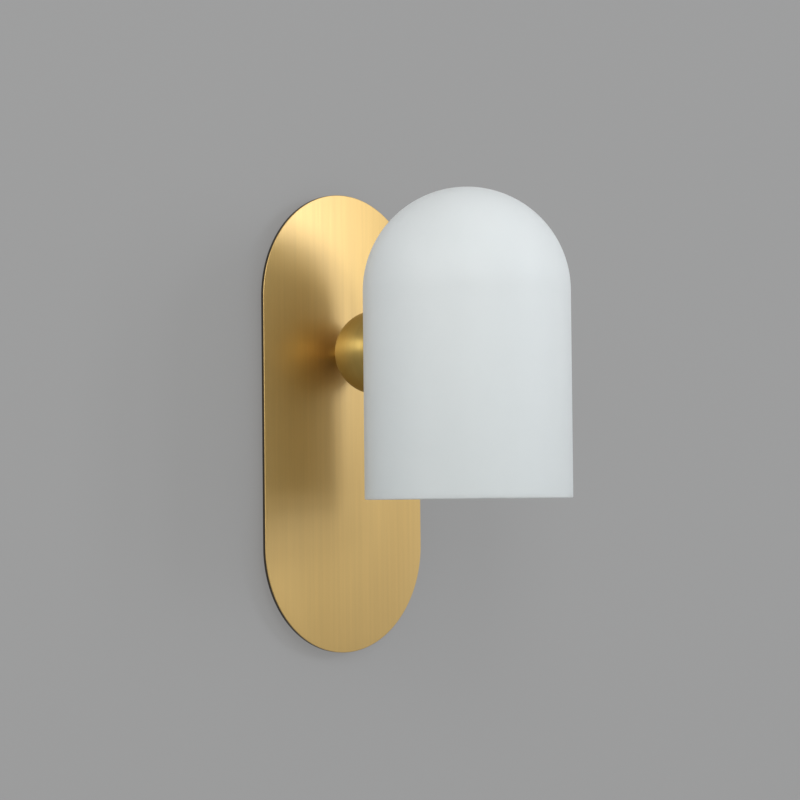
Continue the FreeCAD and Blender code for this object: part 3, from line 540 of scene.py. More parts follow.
FINISHES: dict[str, Finish] = {
    # The plate's edge colour is painted shade on its sides.
    "plate_brass": SatinBrass((0.625, 0.416, 0.132), edge=(0.05, 0.034, 0.014), slot="satin_brass"),
    "ball_brass": SatinBrass((0.54, 0.385, 0.12), 0.46, grain=Grain.TURNED, anisotropy=0.82,
                             line_width=0.3 * MM, lacquer=0.0, slot="satin_brass"),
    "opal_glass": OpalGlass((0.75, 0.795, 0.80)),
    "zinc_steel": BareMetal((0.66, 0.67, 0.68), 0.34),
    "frame_enamel": Moulded((0.16, 0.12, 0.06), 0.5, pore=0.3 * MM),
    "turned_brass": BareMetal((0.62, 0.45, 0.20), 0.24, mark=0.1 * MM),
    "tinned_copper": BareMetal((0.75, 0.73, 0.70), 0.26),
    "grey_rubber": Moulded((0.055, 0.055, 0.057), 0.62, pore=0.25 * MM),
    "clear_silicone": Moulded((0.72, 0.72, 0.70), 0.4, softness=0.5),
    "natural_nylon": Moulded((0.80, 0.78, 0.70), 0.42, softness=0.3),
    "live_sleeve": Moulded((0.16, 0.065, 0.025), 0.38),
    "neutral_sleeve": Moulded((0.03, 0.12, 0.42), 0.38),
    "earth_sleeve": Moulded((0.07, 0.30, 0.05), 0.38, stripe=(0.75, 0.62, 0.05)),
    "cable_sleeve": WovenSleeve((0.80, 0.79, 0.76)),
    "white_ceramic": Moulded((0.84, 0.82, 0.78), 0.5, pore=0.2 * MM),
    "bulb_plastic": Moulded((0.85, 0.85, 0.83), 0.33, pore=0.8 * MM),
    "bulb_frost": Moulded((0.86, 0.86, 0.84), 0.42, softness=0.8, clearness=0.25),
    "board_white": Moulded((0.80, 0.80, 0.76), 0.4),
    "chip_phosphor": Moulded((0.82, 0.60, 0.12), 0.35, softness=0.3, slot="board_white"),
}


@functools.cache
def finish_of(name: str) -> bpy.types.Material:
    """Give the material of a finish, wired once.

    Args:
        name: A key of FINISHES.

    Returns:
        The material.
    """
    wiring = Wiring(name)
    return wiring.end(wiring.out("ShaderNodeBsdfPrincipled", FINISHES[name].surface(wiring)))


# Meshes


def linked(name: str, data: bpy.types.ID) -> Thing:
    """Put a mesh, curve, lamp or camera in the scene as an object at the origin.

    Args:
        name: The object's name.
        data: What it shows.

    Returns:
        The object.
    """
    thing = bpy.data.objects.new(name, data)
    bpy.context.scene.collection.objects.link(thing)
    return thing


def kept(shape: bmesh.types.BMesh, name: str) -> Thing:
    """Put a shape in the scene as an object.

    Args:
        shape: The shape, which is freed.
        name: The object's name.

    Returns:
        The object.
    """
    mesh = bpy.data.meshes.new(name)
    shape.to_mesh(mesh)
    shape.free()
    return linked(name, mesh)


def closed(shape: bmesh.types.BMesh, name: str) -> Thing:
    """Weld a shape, turn its faces outwards and put it in the scene.

    Args:
        shape: The shape, which is freed.
        name: The object's name.

    Returns:
        The object.
    """
    bmesh.ops.remove_doubles(shape, verts=shape.verts, dist=WELD)
    bmesh.ops.recalc_face_normals(shape, faces=shape.faces)
    return kept(shape, name)


def discard(*things: Thing) -> None:
    """Remove helper objects from the file."""
    for thing in things:
        bpy.data.objects.remove(thing)


def settled(thing: Thing) -> Thing:
    """Turn an object's modifiers into plain mesh.

    Args:
        thing: The object, which is removed.

    Returns:
        The plain object, under the same name.
    """
    bpy.context.view_layer.update()
    graph = bpy.context.evaluated_depsgraph_get()
    mesh = bpy.data.meshes.new_from_object(thing.evaluated_get(graph))
    name = thing.name
    discard(thing)
    return linked(name, mesh)


def shaped(thing: Thing, tool: Thing, joining: Joining = Joining.CUT) -> Thing:
    """Cut a tool out of a piece, or keep what it shares with the tool.

    Args:
        thing: The piece.
        tool: A closed object, which is removed.
        joining: What is done with it.

    Returns:
        The cut piece.
    """
    step = thing.modifiers.new("shape", "BOOLEAN")
    step.operation = joining.value
    step.solver = "EXACT"
    step.object = tool
    thing = settled(thing)
    discard(tool)
    return thing


def together(name: str, *things: Thing) -> Thing:
    """Join several closed objects into one.

    Args:
        name: The new object's name.
        *things: The objects, which are removed.

    Returns:
        The new object.
    """
    shape = bmesh.new()
    for thing in things:
        shape.from_mesh(thing.data)
    discard(*things)
    return kept(shape, name)


def bevelled(thing: Thing, width: float, steps: int = SOFT_STEPS, angle: float = 35.0) -> Thing:
    """Soften the sharp edges of a piece.

    Args:
        thing: The piece.
        width: Width of the softened edges.
        steps: Faces across them.
        angle: Edges sharper than this, in degrees, are softened.

    Returns:
        The softened piece.
    """
    step = thing.modifiers.new("soften", "BEVEL")
    step.width = width
    step.segments = steps
    step.limit_method = "ANGLE"
    step.angle_limit = math.radians(angle)
    step.use_clamp_overlap = True
    return settled(thing)


def eased(points: Profile, radius: float, steps: int = 4) -> list[tuple[float, float]]:
    """Round the corners of a closed profile that lie off its axis.

    Args:
        points: Corners as radius and height.
        radius: Size of the rounding.
        steps: Points along each rounding.

    Returns:
        The rounded profile.
    """
    straight, run_share = math.radians(20), 0.45
    made = []
    for step, point in enumerate(points):
        here = Vector(point)
        back = Vector(points[step - 1]) - here
        ahead = Vector(points[(step + 1) % len(points)]) - here
        if here.x < WELD or math.pi - back.angle(ahead) < straight:
            made.append(tuple(here))
            continue
        reach = min(radius, run_share * back.length, run_share * ahead.length)
        entry, leave = here + back.normalized() * reach, here + ahead.normalized() * reach
        for part in range(steps + 1):
            share = part / steps
            made.append(tuple(entry * (1 - share) ** 2 + here * 2 * share * (1 - share) + leave * share ** 2))
    return made


def circle(radius: float, count: int) -> list[tuple[float, float]]:
    """List evenly spread points on a circle."""
    turns = [2 * math.pi * step / count for step in range(count)]
    return [(radius * math.cos(turn), radius * math.sin(turn)) for turn in turns]


def pill(radius: float, span: float, steps: int) -> list[tuple[float, float]]:
    """List the outline of an upright bar with half-round ends.

    Args:
        radius: Radius of the ends, half the bar's width.
        span: Height of the upper end's centre above the middle.
        steps: Steps round each end.

    Returns:
        Points of x and height.
    """
    turns = [math.pi * step / steps for step in range(steps + 1)]
    return [(end * radius * math.cos(turn), end * (span + radius * math.sin(turn)))
            for end in (1, -1) for turn in turns]


def lathed(profile: Profile, place: Matrix, steps: int = ROUND_STEPS, name: str = "tool") -> Thing:
    """Turn a closed profile about the z axis of a frame.

    Args:
        profile: Points of radius and height, in order round the section.
        place: The frame.
        steps: Faces round the axis.
        name: The object's name.

    Returns:
        The object.
    """
    shape = bmesh.new()
    rings = [[shape.verts.new(place @ Vector((x, y, height)))
              for x, y in circle(radius, steps if radius > WELD else 1)] for radius, height in profile]
    for ring, following in zip(rings, rings[1:] + rings[:1]):
        if len(ring) == 1 and len(following) == 1:
            continue
        for step in range(steps):
            corners = [ring[step % len(ring)], ring[(step + 1) % len(ring)],
                       following[(step + 1) % len(following)], following[step % len(following)]]
            shape.faces.new(dict.fromkeys(corners))
    return closed(shape, name)


def stacked(outlines: Sequence[Sequence[Vector]], name: str = "tool") -> Thing:
    """Skin a stack of outlines that have equally many points, and close its ends.

    Args:
        outlines: The outlines in order.
        name: The object's name.

    Returns:
        The object.
    """
    shape = bmesh.new()
    rings = [[shape.verts.new(point) for point in outline] for outline in outlines]
    for ring, following in zip(rings, rings[1:]):
        for step in range(len(ring)):
            ahead = (step + 1) % len(ring)
            shape.faces.new([ring[step], ring[ahead], following[ahead], following[step]])
    for end in (rings[0], rings[-1]):
        shape.faces.new(end)
    return closed(shape, name)


def prism(outline: Profile, low: float, high: float, place: Matrix, name: str = "tool") -> Thing:
    """Raise a flat outline from a low to a high level along the z axis of a frame."""
    return stacked([[place @ Vector((x, y, level)) for x, y in outline] for level in (low, high)], name)


def rod(radius: float, low: float, high: float, place: Matrix, steps: int = ROUND_STEPS) -> Thing:
    """Make a plain round bar along the z axis of a frame."""
    return lathed([(0.0, low), (radius, low), (radius, high), (0.0, high)], place, steps)


def brick(low: Sequence[float], high: Sequence[float], name: str = "tool") -> Thing:
    """Make a plain box between two corners."""
    outline = [(low[0], low[1]), (high[0], low[1]), (high[0], high[1]), (low[0], high[1])]
    return prism(outline, low[2], high[2], Matrix.Identity(4), name)


def upright(x: float = 0.0, y: float = 0.0, z: float = 0.0) -> Matrix:
    """Give a frame at a point whose z points up."""
    return Matrix.Translation((x, y, z))


def towards_room(x: float = 0.0, y: float = 0.0, z: float = 0.0) -> Matrix:
    """Give a frame at a point whose z points away from the wall."""
    return upright(x, y, z) @ Matrix.Rotation(math.pi / 2, 4, "X")


def centre_of(node: str) -> Vector:
    """Give the middle of a node's box."""
    low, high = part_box(node)
    return (low + high) / 2


def copied(node: str, bevel: float) -> Thing:
    """Copy a node's mesh, weld it, merge its flat faces and soften its edges.

    Args:
        node: The node.
        bevel: Width of the softened edges, or 0 for none.

    Returns:
        The copy.
    """
    flat = math.radians(0.3)
    shape = bmesh.new()
    shape.from_mesh(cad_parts[node].data)
    bmesh.ops.remove_doubles(shape, verts=shape.verts, dist=WELD)
    bmesh.ops.dissolve_limit(shape, angle_limit=flat, verts=shape.verts, edges=shape.edges)
    thing = kept(shape, f"{node}_dressed")
    return bevelled(thing, bevel) if bevel else thing


def hand_over(thing: Thing, body: Body, finish: str, node: str, angle: float = 32.0) -> None:
    """Shade a finished piece smooth and give it its surface, its body and the node that it stands for.

    Args:
        thing: The piece.
        body: The body that it rides on.
        finish: A key of FINISHES.
        node: The node that it stands for.
        angle: Edges sharper than this, in degrees, stay sharp.
    """
    surface = finish_of(finish)
    thing.data.shade_smooth()
    thing.data.set_sharp_from_angle(angle=math.radians(angle))
    thing.data.materials.clear()
    thing.data.materials.append(surface)
    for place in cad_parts[node].material_slots:
        place.material = surface
    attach(thing, body.value)
    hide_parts(node)
    LOG.info("%s: %d faces on %s", thing.name, len(thing.data.polygons), body.value)


# Geometry Nodes recipes


class Recipe(Graph):
    """A Geometry Nodes tree with named inputs."""

    def __init__(self, name: str) -> None:
        """Start a tree without inputs.

        Args:
            name: The tree's name.
        """
        super().__init__(bpy.data.node_groups.new(name, "GeometryNodeTree"))
        self.tree.is_modifier = True
        self.start = self.node("NodeGroupInput")

    def ask(self, kind: str, *names: str) -> list[Socket]:
        """Add inputs of a kind.

        Args:
            kind: Their kind, such as Float.
            *names: Their names.

        Returns:
            Their sockets.
        """
        for name in names:
            self.tree.interface.new_socket(name, in_out="INPUT", socket_type=f"NodeSocket{kind}")
        return [self.start.outputs[name] for name in names]

    def close(self, geometry: Socket) -> "Recipe":
        """End the tree in real geometry with the asked finish.

        Args:
            geometry: What the tree makes.

        Returns:
            The recipe.
        """
        finish, = self.ask("Material", "finish")
        real = self.out("GeometryNodeRealizeInstances", {"Geometry": geometry})
        dressed = self.out("GeometryNodeSetMaterial", {"Geometry": real, "Material": finish})
        self.tree.interface.new_socket("Geometry", in_out="OUTPUT", socket_type="NodeSocketGeometry")
        self.node("NodeGroupOutput", {0: dressed})
        return self

    def make(self, name: str, finish: str, base: bpy.types.ID | None = None, **values: Any) -> Thing:
        """Run the tree and keep what it makes as plain mesh.

        Args:
            name: The new object's name.
            finish: A key of FINISHES.
            base: Curve that the tree starts from, if it needs one.
            **values: The tree's other inputs by name.

        Returns:
            The object.
        """
        values["finish"] = finish_of(finish)
        thing = linked(name, base or bpy.data.meshes.new(name))
        step = thing.modifiers.new("recipe", "NODES")
        step.node_group = self.tree
        for item in self.tree.interface.items_tree:
            if item.in_out == "INPUT" and item.name in values:
                step[item.identifier] = values[item.name]
        return settled(thing)


def repeat_recipe() -> Recipe:
    """Draw the tree that repeats one piece in columns and rows, each turned on from the last.

    Returns:
        The recipe.
    """
    recipe = Recipe("repeated_piece")
    piece, = recipe.ask("Object", "piece")
    columns, rows = recipe.ask("Int", "columns", "rows")
    start, column_step, row_step, turn = recipe.ask("Vector", "start", "column_step", "row_step", "turn")
    row = recipe.out("GeometryNodeMeshLine", {"Count": rows, "Offset": row_step})
    line = recipe.out("GeometryNodeMeshLine", {"Count": columns, "Start Location": start,
                                               "Offset": column_step})
    grid = recipe.out("GeometryNodeInstanceOnPoints", {"Points": line, "Instance": row})
    points = recipe.out("GeometryNodeRealizeInstances", {"Geometry": grid})
    turned = recipe.scaled(turn, recipe.out("GeometryNodeInputIndex"))
    source = recipe.node("GeometryNodeObjectInfo", {"Object": piece}, transform_space="ORIGINAL")
    return recipe.close(recipe.out("GeometryNodeInstanceOnPoints", {
        "Points": points, "Instance": source.outputs["Geometry"], "Rotation": turned}))


def thread_recipe() -> Recipe:
    """Draw the tree that winds a screw thread's ridge up the z axis.

    Returns:
        The recipe.
    """
    ridge_sides = 4
    recipe = Recipe("screw_thread")
    radius, pitch, length, depth = recipe.ask("Float", "radius", "pitch", "length", "depth")
    steps, = recipe.ask("Int", "steps")
    root = recipe.math("SUBTRACT", radius, depth)
    path = recipe.out("GeometryNodeCurveSpiral", {
        "Resolution": steps, "Rotations": recipe.math("DIVIDE", length, pitch), "Start Radius": root,
        "End Radius": root, "Height": length})
    ridge = recipe.out("GeometryNodeCurvePrimitiveCircle", {"Resolution": ridge_sides, "Radius": depth})
    return recipe.close(recipe.out("GeometryNodeCurveToMesh", {"Curve": path, "Profile Curve": ridge,
                                                               "Fill Caps": True}))


def dome_recipe() -> Recipe:
    """Draw the tree of a tube closed by a half ball, with a wall and a rounded rim.

    One sheet follows the outside, one the inside and one the rim: a point at s along the side lies
    at radius R cos(a) and height min(s, straight) + R sin(a), where a is what s has run past the
    straight part, as an angle of the dome.

    Returns:
        The recipe.
    """
    recipe = Recipe("domed_shell")
    calc = recipe.math
    radius, wall, straight, rim = recipe.ask("Float", "radius", "wall", "straight", "rim")
    around, along, rim_steps = recipe.ask("Int", "around", "along", "rim_steps")
    flat = recipe.out("GeometryNodeInputPosition")
    share = calc("ADD", recipe.part(flat, "Y"), 0.5)
    turn = calc("MULTIPLY", calc("ADD", recipe.part(flat, "X"), 0.5), 2 * math.pi)
    cosine, sine = calc("COSINE", turn), calc("SINE", turn)

    def sheet(steps: Socket, size: Socket, lift: Socket) -> Socket:
        """Bend a flat grid round the axis.

        Args:
            steps: Points along the section.
            size: Radius of each point.
            lift: Height of each point.

        Returns:
            The sheet.
        """
        grid = recipe.out("GeometryNodeMeshGrid", {"Size X": 1.0, "Size Y": 1.0, "Vertices X": around,
                                                   "Vertices Y": steps})
        spot = recipe.vector(calc("MULTIPLY", size, cosine), calc("MULTIPLY", size, sine), lift)
        return recipe.out("GeometryNodeSetPosition", {"Geometry": grid, "Position": spot})

    level = calc("SUBTRACT", straight, rim)
    run = calc("MULTIPLY", share, calc("ADD", level, calc("MULTIPLY", radius, math.pi / 2)))
    angle = calc("DIVIDE", calc("MAXIMUM", calc("SUBTRACT", run, level), 0.0), radius)
    height = calc("ADD", calc("MINIMUM", run, level), rim)
    sheets = [sheet(along, calc("MULTIPLY", size, calc("COSINE", angle)),
                    calc("ADD", height, calc("MULTIPLY", size, calc("SINE", angle))))
              for size in (radius, calc("SUBTRACT", radius, wall))]
    half, bend = calc("MULTIPLY", wall, 0.5), calc("MULTIPLY", share, math.pi)
    sheets.append(sheet(rim_steps, calc("ADD", calc("SUBTRACT", radius, half),
                                        calc("MULTIPLY", half, calc("COSINE", bend))),
                        calc("SUBTRACT", rim, calc("MULTIPLY", rim, calc("SINE", bend)))))
    return recipe.close(recipe.out("GeometryNodeJoinGeometry", {"Geometry": sheets}))


def tube_recipe() -> Recipe:
    """Draw the tree that sweeps a sleeve along the object's own curve and lays a UV map on it.

    Returns:
        The recipe.
    """
    recipe = Recipe("round_sleeve")
    path, = recipe.ask("Geometry", "Geometry")
    radius, = recipe.ask("Float", "radius")
    steps, = recipe.ask("Int", "steps")
    ring = recipe.out("GeometryNodeCurvePrimitiveCircle", {"Resolution": steps, "Radius": radius})
    marked, read = [], []
    for curve, name, measure in ((path, "run", "Length"), (ring, "round", "Factor")):
        value = recipe.node("GeometryNodeSplineParameter").outputs[measure]
        marked.append(recipe.out("GeometryNodeStoreNamedAttribute", {
            "Geometry": curve, "Name": name, "Value": value}, data_type="FLOAT", domain="POINT"))
        named = recipe.node("GeometryNodeInputNamedAttribute", {"Name": name}, data_type="FLOAT")
        read.append(named.outputs["Attribute"])
    tube = recipe.out("GeometryNodeCurveToMesh", {"Curve": marked[0], "Profile Curve": marked[1],
                                                  "Fill Caps": True})
    return recipe.close(recipe.out("GeometryNodeStoreNamedAttribute", {
        "Geometry": tube, "Name": "lay", "Value": recipe.vector(*read)}, data_type="FLOAT2", domain="CORNER"))


REPEATED, THREAD, DOME, TUBE = repeat_recipe(), thread_recipe(), dome_recipe(), tube_recipe()


def repeated(name: str, piece: Thing, finish: str, **layout: Any) -> Thing:
    """Repeat a piece drawn at the origin, and remove the one it was drawn as.

    Args:
        name: The result's name.
        piece: The piece at the origin.
        finish: A key of FINISHES.
        **layout: Columns, rows, start, column_step, row_step and turn, which is from copy to copy.

    Returns:
        The repeated pieces as one object.
    """
    made = REPEATED.make(name, finish, piece=piece, **layout)
    discard(piece)
    return made


@dataclass(frozen=True)
class Dome:
    """A tube closed by a half ball, open at its mouth.

    Attributes:
        wall: Thickness of its wall.
        rim: Height of the rim's rounding.
        around: Points round it.
        along: Points up its side.
        rim_steps: Points across its rim.
    """

    wall: float
    rim: float
    around: int
    along: int
    rim_steps: int

    def build(self, name: str, node: str, finish: str, place: Matrix) -> Thing:
        """Draw the dome to a node's size.

        Args:
            name: The object's name.
            node: The node.
            finish: A key of FINISHES.
            place: Frame in the middle of the mouth whose z points into the dome.

        Returns:
            The dome.
        """
        low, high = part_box(node)
        made = DOME.make(name, finish, radius=high.x, straight=high.z - low.z - high.x, **vars(self))
        shape = bmesh.new()
        shape.from_mesh(made.data)
        shape.transform(place)
        discard(made)
        return closed(shape, name)


@dataclass(frozen=True)
class Thread:
    """A screw thread cut on a bar.

    Attributes:
        radius: Outer radius.
        pitch: Way from ridge to ridge.
        share: Depth as a share of the pitch.
        steps: Points round each turn.
    """

    radius: float
    pitch: float
    share: float = 0.45
    steps: int = 28

    @property
    def depth(self) -> float:
        """Depth of the thread."""
        return self.pitch * self.share

    @property
    def core(self) -> float:
        """Radius at the bottom of the thread."""
        return self.radius - self.depth

    def wind(self, low: float, high: float, place: Matrix, finish: str) -> Thing:
        """Wind the ridge between two heights of a frame.

        Args:
            low: Where it starts.
            high: Where it ends.
            place: The frame.
            finish: A key of FINISHES.

        Returns:
            The ridge.
        """
        made = THREAD.make("ridge", finish, radius=self.radius, pitch=self.pitch, depth=self.depth,
                           length=high - low - 2 * self.depth, steps=self.steps)
        made.data.transform(place @ upright(z=low + self.depth))
        return made


@dataclass(frozen=True)
class Screw:
    """A slotted screw with a domed head above z = 0 and a threaded shank below.

    Attributes:
        head_radius: Radius of the head.
        head_height: Height of the head.
        thread: Thread of the shank.
        length: Length of the shank.
        slot_width: Width of the slot.
        slot_depth: Depth of the slot.
        tip_share: Chamfer at the tip, as a share of the shank's radius.
        crown_shares: Outline of the head, as shares of its radius and height.
        steps: Faces round it.
    """

    head_radius: float
    head_height: float
    thread: Thread
    length: float
    slot_width: float = 0.9 * MM
    slot_depth: float = 0.8 * MM
    tip_share: float = 0.3
    crown_shares: Profile = ((0.0, 1.0), (0.45, 0.99), (0.75, 0.92), (0.93, 0.75), (1.0, 0.45), (1.0, 0.0))
    steps: int = 48

    def build(self, finish: str) -> Thing:
        """Turn the screw at the origin, saw its slot and cut its thread.

        Args:
            finish: A key of FINISHES.

        Returns:
            The screw.
        """
        core, tip, top = self.thread.core, self.tip_share * self.thread.core, self.head_height
        crown = [(wide * self.head_radius, high * top) for wide, high in self.crown_shares]
        shank = [(core, 0.0), (core, tip - self.length), (core - tip, -self.length), (0.0, -self.length)]
        blank = lathed(crown + shank, upright(), self.steps)
        half, reach = self.slot_width / 2, 2 * self.head_radius
        saw = brick((-reach, -half, top - self.slot_depth), (reach, half, 2 * top))
        ridge = self.thread.wind(-self.length, 0.0, upright(), finish)
        return together("screw", shaped(blank, saw), ridge)

    def pair(self, name: str, finish: str, start: Point, step: Point, turn: Point = (0.0, 0.0, 0.0)) -> Thing:
        """Build two such screws as one object.

        Args:
            name: The object's name.
            finish: A key of FINISHES.
            start: Seat of the first screw's head.
            step: Way to the second screw.
            turn: Turn of the second screw, in radians about x, y and z.

        Returns:
            The screws.
        """
        return repeated(name, self.build(finish), finish, columns=2, rows=1, start=start, column_step=step,
                        turn=turn)


@dataclass(frozen=True)
class Nut:
    """A six-sided nut with chamfered corners and a threaded bore.

    Attributes:
        corner: Radius across its corners.
        height: Its height.
        bore: Radius of its bore.
        drop_share: Width of the chamfer, as a share of the corner's reach past the flats.
        drop_slope: Height of the chamfer, as a share of its width.
        lead_share: Chamfer of the bore, as a share of its radius.
    """

    corner: float
    height: float
    bore: float
    drop_share: float = 0.5
    drop_slope: float = 1.6
    lead_share: float = 0.12

    def build(self, place: Matrix, name: str = "nut") -> Thing:
        """Cut the nut from a turned blank and a six-sided bar.

        Args:
            place: Frame at the middle of its lower face.
            name: The object's name.

        Returns:
            The nut.
        """
        bar = prism(circle(self.corner, 6), 0.0, self.height, place, name)
        flats = self.corner * math.cos(math.pi / 6)
        drop = self.drop_share * (self.corner - flats)
        wide, rise = self.corner + drop, drop * self.drop_slope
        blank = [(0.0, 0.0), (flats, 0.0), (wide, rise), (wide, self.height - rise), (flats, self.height),
                 (0.0, self.height)]
        lead = self.lead_share * self.bore
        mouth = self.bore + 2 * lead
        bore = [(0.0, -lead), (mouth, -lead), (self.bore, lead), (self.bore, self.height - lead),
                (mouth, self.height + lead), (0.0, self.height + lead)]
        nut = shaped(bar, lathed(blank, place), Joining.SHARE)
        return shaped(nut, lathed(bore, place, 64))


# Sub-assemblies


@dataclass
class SubAssembly:
    """A group of pieces that belong together.

    Attributes:
        body: The body that its pieces ride on.
        plain: Nodes that are copied with softened edges: node, width of the edges and finish.
    """

    body: Body = Body.HEAD
    plain: Plain = ()

    def build(self) -> None:
        """Build the plain pieces; groups with others build those too."""
        for node, bevel, finish in self.plain:
            hand_over(copied(node, bevel), self.body, finish, node)


@dataclass
class StudGroup(SubAssembly):
    """A group with pieces at the plate's four studs.

    Attributes:
        stud: Thread of the studs.
        flats: Width of the studs' nuts across flats.
    """

    body: Body = Body.WALL_PLATE
    stud: Thread = Thread(1.5 * MM, 0.5 * MM)
    flats: float = 5.5 * MM

    @property
    def nut_corner(self) -> float:
        """Radius of a stud's nut across its corners."""
        return self.flats / math.sqrt(3)

    def at_studs(self, name: str, piece: Thing, finish: str, depth: float, level: float) -> Thing:
        """Repeat a piece on the four studs.

        Args:
            name: The result's name.
            piece: The piece at the origin.
            finish: A key of FINISHES.
            depth: The y of the pieces.
            level: Height of the upper pieces above the middle.

        Returns:
            The pieces as one object.
        """
        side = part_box("frame_nuts")[1].x - self.nut_corner
        return repeated(name, piece, finish, columns=2, rows=2, start=(-side, depth, -level),
                        column_step=(2 * side, 0.0, 0.0), row_step=(0.0, 0.0, 2 * level))


@dataclass
class BrassPlate(StudGroup):
    """Oblong plate that shows on the wall, with the studs on its back.

    Attributes:
        edge: Rounding of the front edge.
        edge_steps: Steps of that rounding.
        back_edge: Chamfer of the rear edge.
        end_steps: Steps round each half-round end.
        collar_step: How far the collar reaches over its hole.
        stud_sink: How deep a stud sits in the plate, also the slope down to its thread.
        stud_foot: Plain length of a stud, also the chamfer at its tip.
        stud_steps: Faces round a stud.
    """

    edge: float = 0.4 * MM
    edge_steps: int = 4
    back_edge: float = 0.1 * MM
    end_steps: int = 96
    collar_step: float = 0.8 * MM
    stud_sink: float = 0.2 * MM
    stud_foot: float = 0.3 * MM
    stud_steps: int = 40

    def build(self) -> None:
        """Build the plate and its threaded studs."""
        low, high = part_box("backplate")
        back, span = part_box("rear_frame")[0].y, high.z - high.x
        studs = self.at_studs("plate_studs", self.stud_at_origin(high.y - back), "plate_brass", back, span)
        hand_over(self.sheet(high.x, span, low.y, back), self.body, "plate_brass", "backplate", 40.0)
        hand_over(studs, self.body, "plate_brass", "backplate")

    def sheet(self, half_width: float, span: float, front: float, back: float) -> Thing:
        """Draw the plate with its rounded front edge and the collar's hole.

        Args:
            half_width: Half of its width.
            span: Height of the upper end's centre above the middle.
            front: The y of its front.
            back: The y of its back.

        Returns:
            The plate.
        """
        levels = [(self.back_edge, back), (0.0, back - self.back_edge)]
        for step in range(self.edge_steps + 1):
            turn = math.pi / 2 * step / self.edge_steps
            levels.append((self.edge * (1 - math.cos(turn)), front + self.edge * (1 - math.sin(turn))))
        plate = stacked([[Vector((x, depth, z)) for x, z in pill(half_width - inset, span, self.end_steps)]
                         for inset, depth in levels], "brass_plate")
        collar = centre_of("collar")
        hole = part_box("collar")[1].x - self.collar_step
        return shaped(plate, rod(hole, -OVERRUN, OVERRUN, towards_room(collar.x, back, collar.z)))

    def stud_at_origin(self, length: float) -> Thing:
        """Turn one stud that stands on the origin and points at the wall.

        Args:
            length: Its length.

        Returns:
            The stud.
        """
        sink, foot, radius, core = self.stud_sink, self.stud_foot, self.stud.radius, self.stud.core
        to_wall = Matrix.Rotation(-math.pi / 2, 4, "X")
        profile = [(0.0, -sink), (radius, -sink), (radius, foot), (core, foot + sink), (core, length - foot),
                   (core - foot, length), (0.0, length)]
        bar = lathed(profile, to_wall, self.stud_steps)
        return together("stud", bar, self.stud.wind(2 * sink, length, to_wall, "plate_brass"))


@dataclass
class WallFixing(StudGroup):
    """Bracket, grommet, set-back frame and the fasteners between them.

    Attributes:
        side_screw: The screw at each end of the frame.
    """

    plain: Plain = (
        ("wall_bracket", 0.2 * MM, "zinc_steel"),
        ("cable_grommet", 0.25 * MM, "grey_rubber"),
        ("rear_frame", 0.15 * MM, "frame_enamel"),
        ("stop_pin", 0.2 * MM, "zinc_steel"),
    )
    side_screw: Screw = Screw(3.6 * MM, 2.2 * MM, Thread(2 * MM, 0.7 * MM), 8 * MM)

    def build(self) -> None:
        """Build what holds the plate on the wall; the lower one of the two end screws is upside down."""
        super().build()
        low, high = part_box("frame_nuts")
        nut = Nut(self.nut_corner, high.y - low.y, self.stud.radius).build(towards_room())
        nuts = self.at_studs("stud_nuts", nut, "zinc_steel", high.y, high.z - self.flats / 2)
        hand_over(nuts, self.body, "zinc_steel", "frame_nuts")
        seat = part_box("side_screws")[1].z - self.side_screw.head_height
        screws = self.side_screw.pair("end_screws", "turned_brass", (0.0, centre_of("side_screws").y, seat),
                                      (0.0, 0.0, -2 * seat), (math.pi, 0.0, 0.0))
        hand_over(screws, self.body, "turned_brass", "side_screws")


@dataclass
class Terminals(SubAssembly):
    """Terminal block, earth terminal and the wires between them and the swivel."""

    body: Body = Body.WALL_PLATE
    plain: Plain = (
        ("terminal_block", 0.25 * MM, "natural_nylon"),
        ("terminal_clamps", 0.12 * MM, "turned_brass"),
        ("terminal_screws", 0.08 * MM, "zinc_steel"),
        ("block_screws", 0.15 * MM, "zinc_steel"),
        ("earth_tag", 0.1 * MM, "tinned_copper"),
        ("earth_screw", 0.2 * MM, "turned_brass"),
        ("live_wire", 0.0, "live_sleeve"),
        ("neutral_wire", 0.0, "neutral_sleeve"),
        ("earth_wire", 0.0, "earth_sleeve"),
    )


@dataclass
class StemGroup(SubAssembly):
    """A group with pieces turned about the stem's axis.

    Attributes:
        thread: The stem's thread.
        working: Radius of the holes that the stem runs through.
    """

    thread: Thread = Thread(5 * MM, 1 * MM, 0.35)
    working: float = 5.05 * MM

    def on_stem(self, y: float = 0.0) -> Matrix:
        """Give a frame on the stem's axis whose z points away from the wall."""
        return towards_room(0.0, y, centre_of("stem").z)

    def ring(self, name: str, node: str, finish: str, edge: float, play: float = 0.0) -> None:
        """Turn a plain washer to a node's size with rounded edges.

        Args:
            name: The washer's name.
            node: The node.
            finish: A key of FINISHES.
            edge: Rounding of its edges.
            play: Air left at its rear face.
        """
        low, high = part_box(node)
        back, front = play - high.y, -low.y
        profile = [(self.working, back), (high.x, back), (high.x, front), (self.working, front)]
        hand_over(lathed(eased(profile, edge), self.on_stem(), name=name), self.body, finish, node)

    def nut(self, name: str, node: str) -> None:
        """Cut one of the large nuts on the stem.

        Args:
            name: The nut's name.
            node: The node.
        """
        low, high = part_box(node)
        nut = Nut(high.x, high.y - low.y, self.thread.radius).build(self.on_stem(high.y), name)
        hand_over(nut, self.body, "turned_brass", node)


